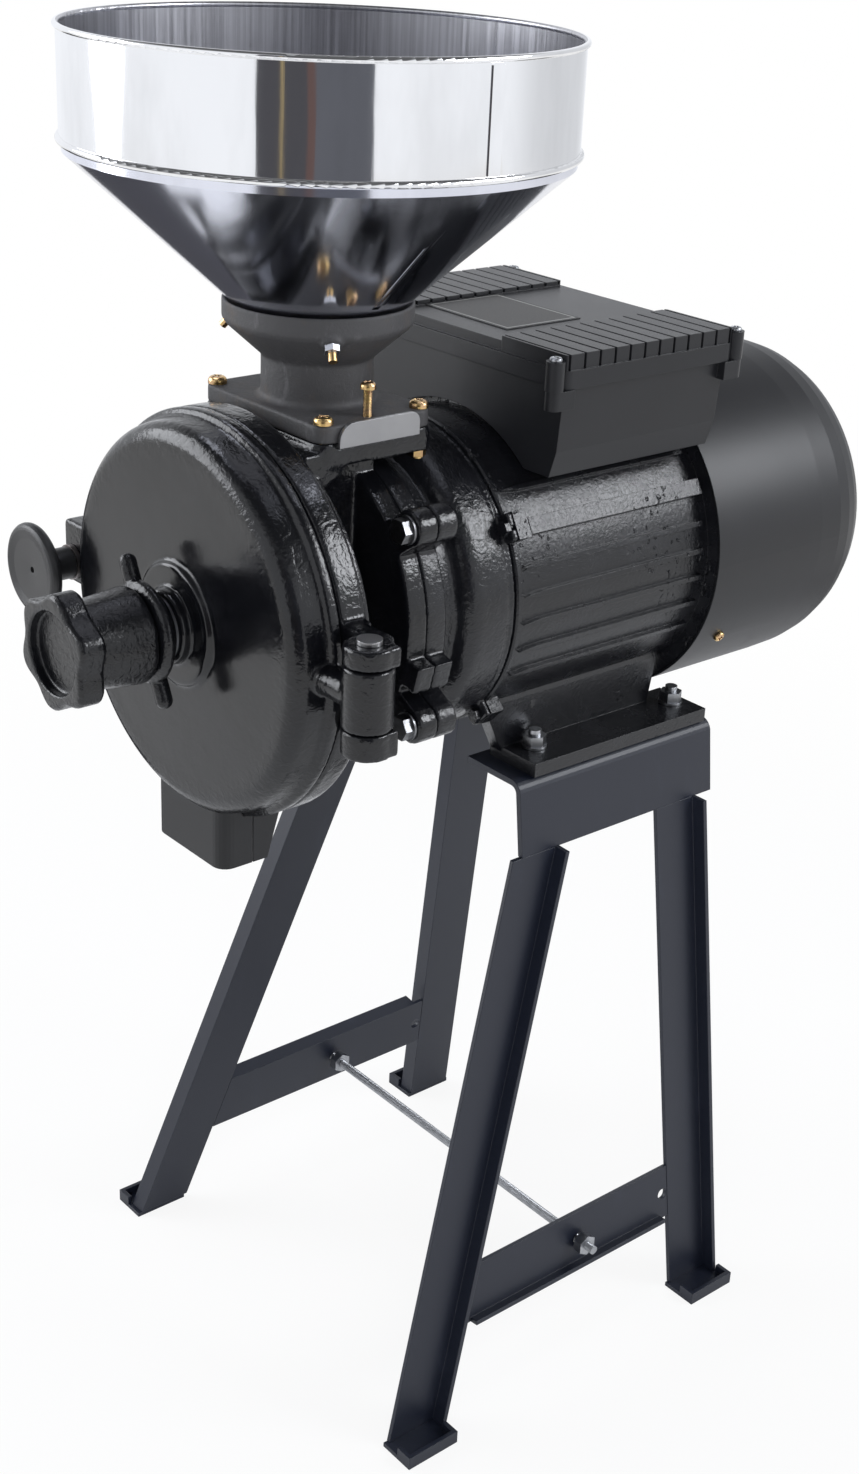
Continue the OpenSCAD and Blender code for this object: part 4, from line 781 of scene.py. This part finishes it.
CAMERA_SPOT = (0.8968, -0.7959, 0.9501)
CAMERA_YAW, CAMERA_PITCH, CAMERA_ROLL = 49.1, 24.5, 2.6  # degrees
CAMERA_LENS, CAMERA_FILM, CAMERA_REACH = 32.83, 24.0, 60.0


def round_about(bearing, far, height):
    """Place at a bearing in degrees from the front, seen from the middle of the floor."""
    turn = math.radians(bearing)
    return math.sin(turn) * far, -math.cos(turn) * far, height


class GRAINMILL_OT_stage(bpy.types.Operator):
    """White floor, soft lights and camera"""

    bl_idname = "grainmill.stage"
    bl_label = "Stage"

    def execute(self, context):
        scene = context.scene
        scene.view_settings.view_transform = "Standard"
        self.sweep()
        self.flags()
        self.lamps()
        self.room(scene)
        self.camera(scene)
        return {"FINISHED"}

    def prop(self, name, mesh, material):
        """Object that belongs to the stage and not to the mill."""
        mesh.materials.append(material)
        obj = linked(name, mesh)
        return obj

    def sweep(self):
        """Pale floor, white where it is seen directly, with the object's shadow kept near it."""
        f = Finish("floor_white")
        seen, glossy = f.rays()
        out = f.add("ShaderNodeVectorMath", {"operation": "LENGTH"}, {0: f.place()}, out=1)
        far = f.between(out, *SHADOW_REACH)
        share = seen * (SEEN_NEAR + far * SEEN_GAIN)
        share = share + glossy * (MIRRORED_NEAR + far * MIRRORED_GAIN)
        lit = f.add("ShaderNodeBsdfDiffuse", None, {"Color": FLOOR_PAINT})
        glow = f.add("ShaderNodeEmission", None, {"Color": WHITE, "Strength": 1.0})
        f.close(f.add("ShaderNodeMixShader", None, {0: share.clamped(), 1: lit, 2: glow}))

        def fill(bm):
            bmesh.ops.create_circle(bm, cap_ends=True, segments=96, radius=FLOOR_RADIUS)

        self.prop("floor", formed_mesh("floor", fill), f.material)

    def flags(self):
        """Glowing sheets that only polished metal mirrors: painted reflections of dark and tinted
        cloths, in place of the room; no camera or lamp meets them.
        """
        cloths = {name: self.cloth(name, colour) for name, colour in CLOTHS.items()}
        shapes = [(name, cloth, self.standing(start, stop))
                  for name, cloth, start, stop in STANDING_FLAGS]
        shapes += [(name, cloth, self.lying(low, high)) for name, cloth, low, high in LYING_FLAGS]
        for name, cloth, (points, faces) in shapes:
            mesh = bpy.data.meshes.new(name)
            mesh.from_pydata(points, [], faces)
            flag = self.prop(name, mesh, cloths[cloth])
            flag.visible_camera = False
            flag.visible_diffuse = False
            flag.visible_shadow = False

    def cloth(self, name, colour):
        """Painted reflection: a sheet that glows as little as a dull cloth would in the room's
        light.
        """
        f = Finish(name)
        return f.close(f.add("ShaderNodeEmission", None, {"Color": colour, "Strength": 1.0}))

    def standing(self, start, stop):
        """Upright strip bent round the object between two bearings."""
        cuts = max(1, round((stop - start) / FLAG_FACET))
        points = []
        for cut in range(cuts + 1):
            bearing = start + (stop - start) * cut / cuts
            points += [round_about(bearing, FLAG_DISTANCE, z) for z in (0.0, FLAG_HEIGHT)]
        return points, [(2 * cut, 2 * cut + 2, 2 * cut + 3, 2 * cut + 1) for cut in range(cuts)]

    def lying(self, low, high):
        """Flat strip just over the floor."""
        ring = ((low[X], low[Y]), (high[X], low[Y]), (high[X], high[Y]), (low[X], high[Y]))
        return [(x, y, FLAG_LIFT) for x, y in ring], [(0, 1, 2, 3)]

    def lamps(self):
        """Soft boxes round the object."""
        for name, bearing, far, height, size, power in LAMPS:
            data = bpy.data.lights.new(name, "AREA")
            data.shape = "RECTANGLE"
            data.size, data.size_y = size
            data.energy = power
            data.color = DAYLIGHT
            place = Vector(round_about(bearing, far, height))
            away = Vector((0, 0, 1)).rotation_difference((place - LAMP_TARGET).normalized())
            lamp = linked(name, data)
            lamp.matrix_world = Matrix.Translation(place) @ away.to_matrix().to_4x4()
            lamp.visible_glossy = name not in UNMIRRORED_LAMPS

    def room(self, scene):
        """Plain pale room that metal mirrors dimmer overhead and behind."""
        world = bpy.data.worlds.new("room")
        world.use_nodes = True
        tree = world.node_tree
        tree.nodes.clear()
        maker = Maker(tree)
        seen, glossy = maker.rays()
        look = maker.add("ShaderNodeTexCoord", out="Generated")
        rise, behind = (maker.add("ShaderNodeSeparateXYZ", None, {0: look}, out=axis)
                        for axis in (Z, Y))
        mirrored = 1.0 - maker.between(rise, *OVERHEAD) * OVERHEAD_LOSS
        mirrored = mirrored - maker.between(behind, *BEHIND) * BEHIND_LOSS
        level = seen + (1.0 - seen) * (glossy * mirrored + (1.0 - glossy) * ROOM_LEVEL)
        tint = maker.mix(DAYLIGHT, WHITE, seen)
        glow = maker.add("ShaderNodeBackground", None, {"Color": tint, "Strength": level})
        end = tree.nodes.new("ShaderNodeOutputWorld")
        tree.links.new(glow.socket, end.inputs["Surface"])
        scene.world = world

    def camera(self, scene):
        """Camera at the angle from which the object is usually shown."""
        yaw, pitch, roll = map(math.radians, (CAMERA_YAW, CAMERA_PITCH, CAMERA_ROLL))
        level = math.cos(pitch)
        back = Vector((math.sin(yaw) * level, -math.cos(yaw) * level, math.sin(pitch)))
        right = Vector((math.cos(yaw), math.sin(yaw), 0.0))
        up = back.cross(right)
        across = right * math.cos(roll) + up * math.sin(roll)
        over = up * math.cos(roll) - right * math.sin(roll)
        data = bpy.data.cameras.new("camera")
        data.sensor_fit = "VERTICAL"
        data.sensor_height = CAMERA_FILM
        data.lens = CAMERA_LENS
        data.clip_end = CAMERA_REACH
        cam = linked("camera", data)
        turn = Matrix((across, over, back)).transposed().to_4x4()
        cam.matrix_world = Matrix.Translation(CAMERA_SPOT) @ turn
        scene.camera = cam


class GRAINMILL_PT_panel(bpy.types.Panel):
    """Lists the settings and the steps of the grain mill"""

    bl_idname = "GRAINMILL_PT_panel"
    bl_label = "Grain Mill"
    bl_space_type = "VIEW_3D"
    bl_region_type = "UI"
    bl_category = "Grain Mill"

    def draw(self, context):
        for group in (context.scene.grain_mill_colours, context.scene.grain_mill_sizes):
            for key in group.__annotations__:
                self.layout.prop(group, key)
        for step in STEPS:
            self.layout.operator(step.bl_idname)


STEPS = (
    GRAINMILL_OT_hopper, GRAINMILL_OT_castings, GRAINMILL_OT_motor, GRAINMILL_OT_box,
    GRAINMILL_OT_stand, GRAINMILL_OT_hardware, GRAINMILL_OT_stage,
)
CLASSES = (GrainMillColours, GrainMillSizes, *STEPS, GRAINMILL_PT_panel)


def register():
    """Registers the classes and the scene's settings."""
    for cls in CLASSES:
        bpy.utils.register_class(cls)
    bpy.types.Scene.grain_mill_colours = bpy.props.PointerProperty(type=GrainMillColours)
    bpy.types.Scene.grain_mill_sizes = bpy.props.PointerProperty(type=GrainMillSizes)


def unregister():
    """Removes what register added."""
    del bpy.types.Scene.grain_mill_sizes
    del bpy.types.Scene.grain_mill_colours
    for cls in reversed(CLASSES):
        bpy.utils.unregister_class(cls)


def main():
    """Runs every step in order."""
    register()
    for step in STEPS:
        area, name = step.bl_idname.split(".")
        getattr(getattr(bpy.ops, area), name)()


if __name__ == "__main__":
    main()
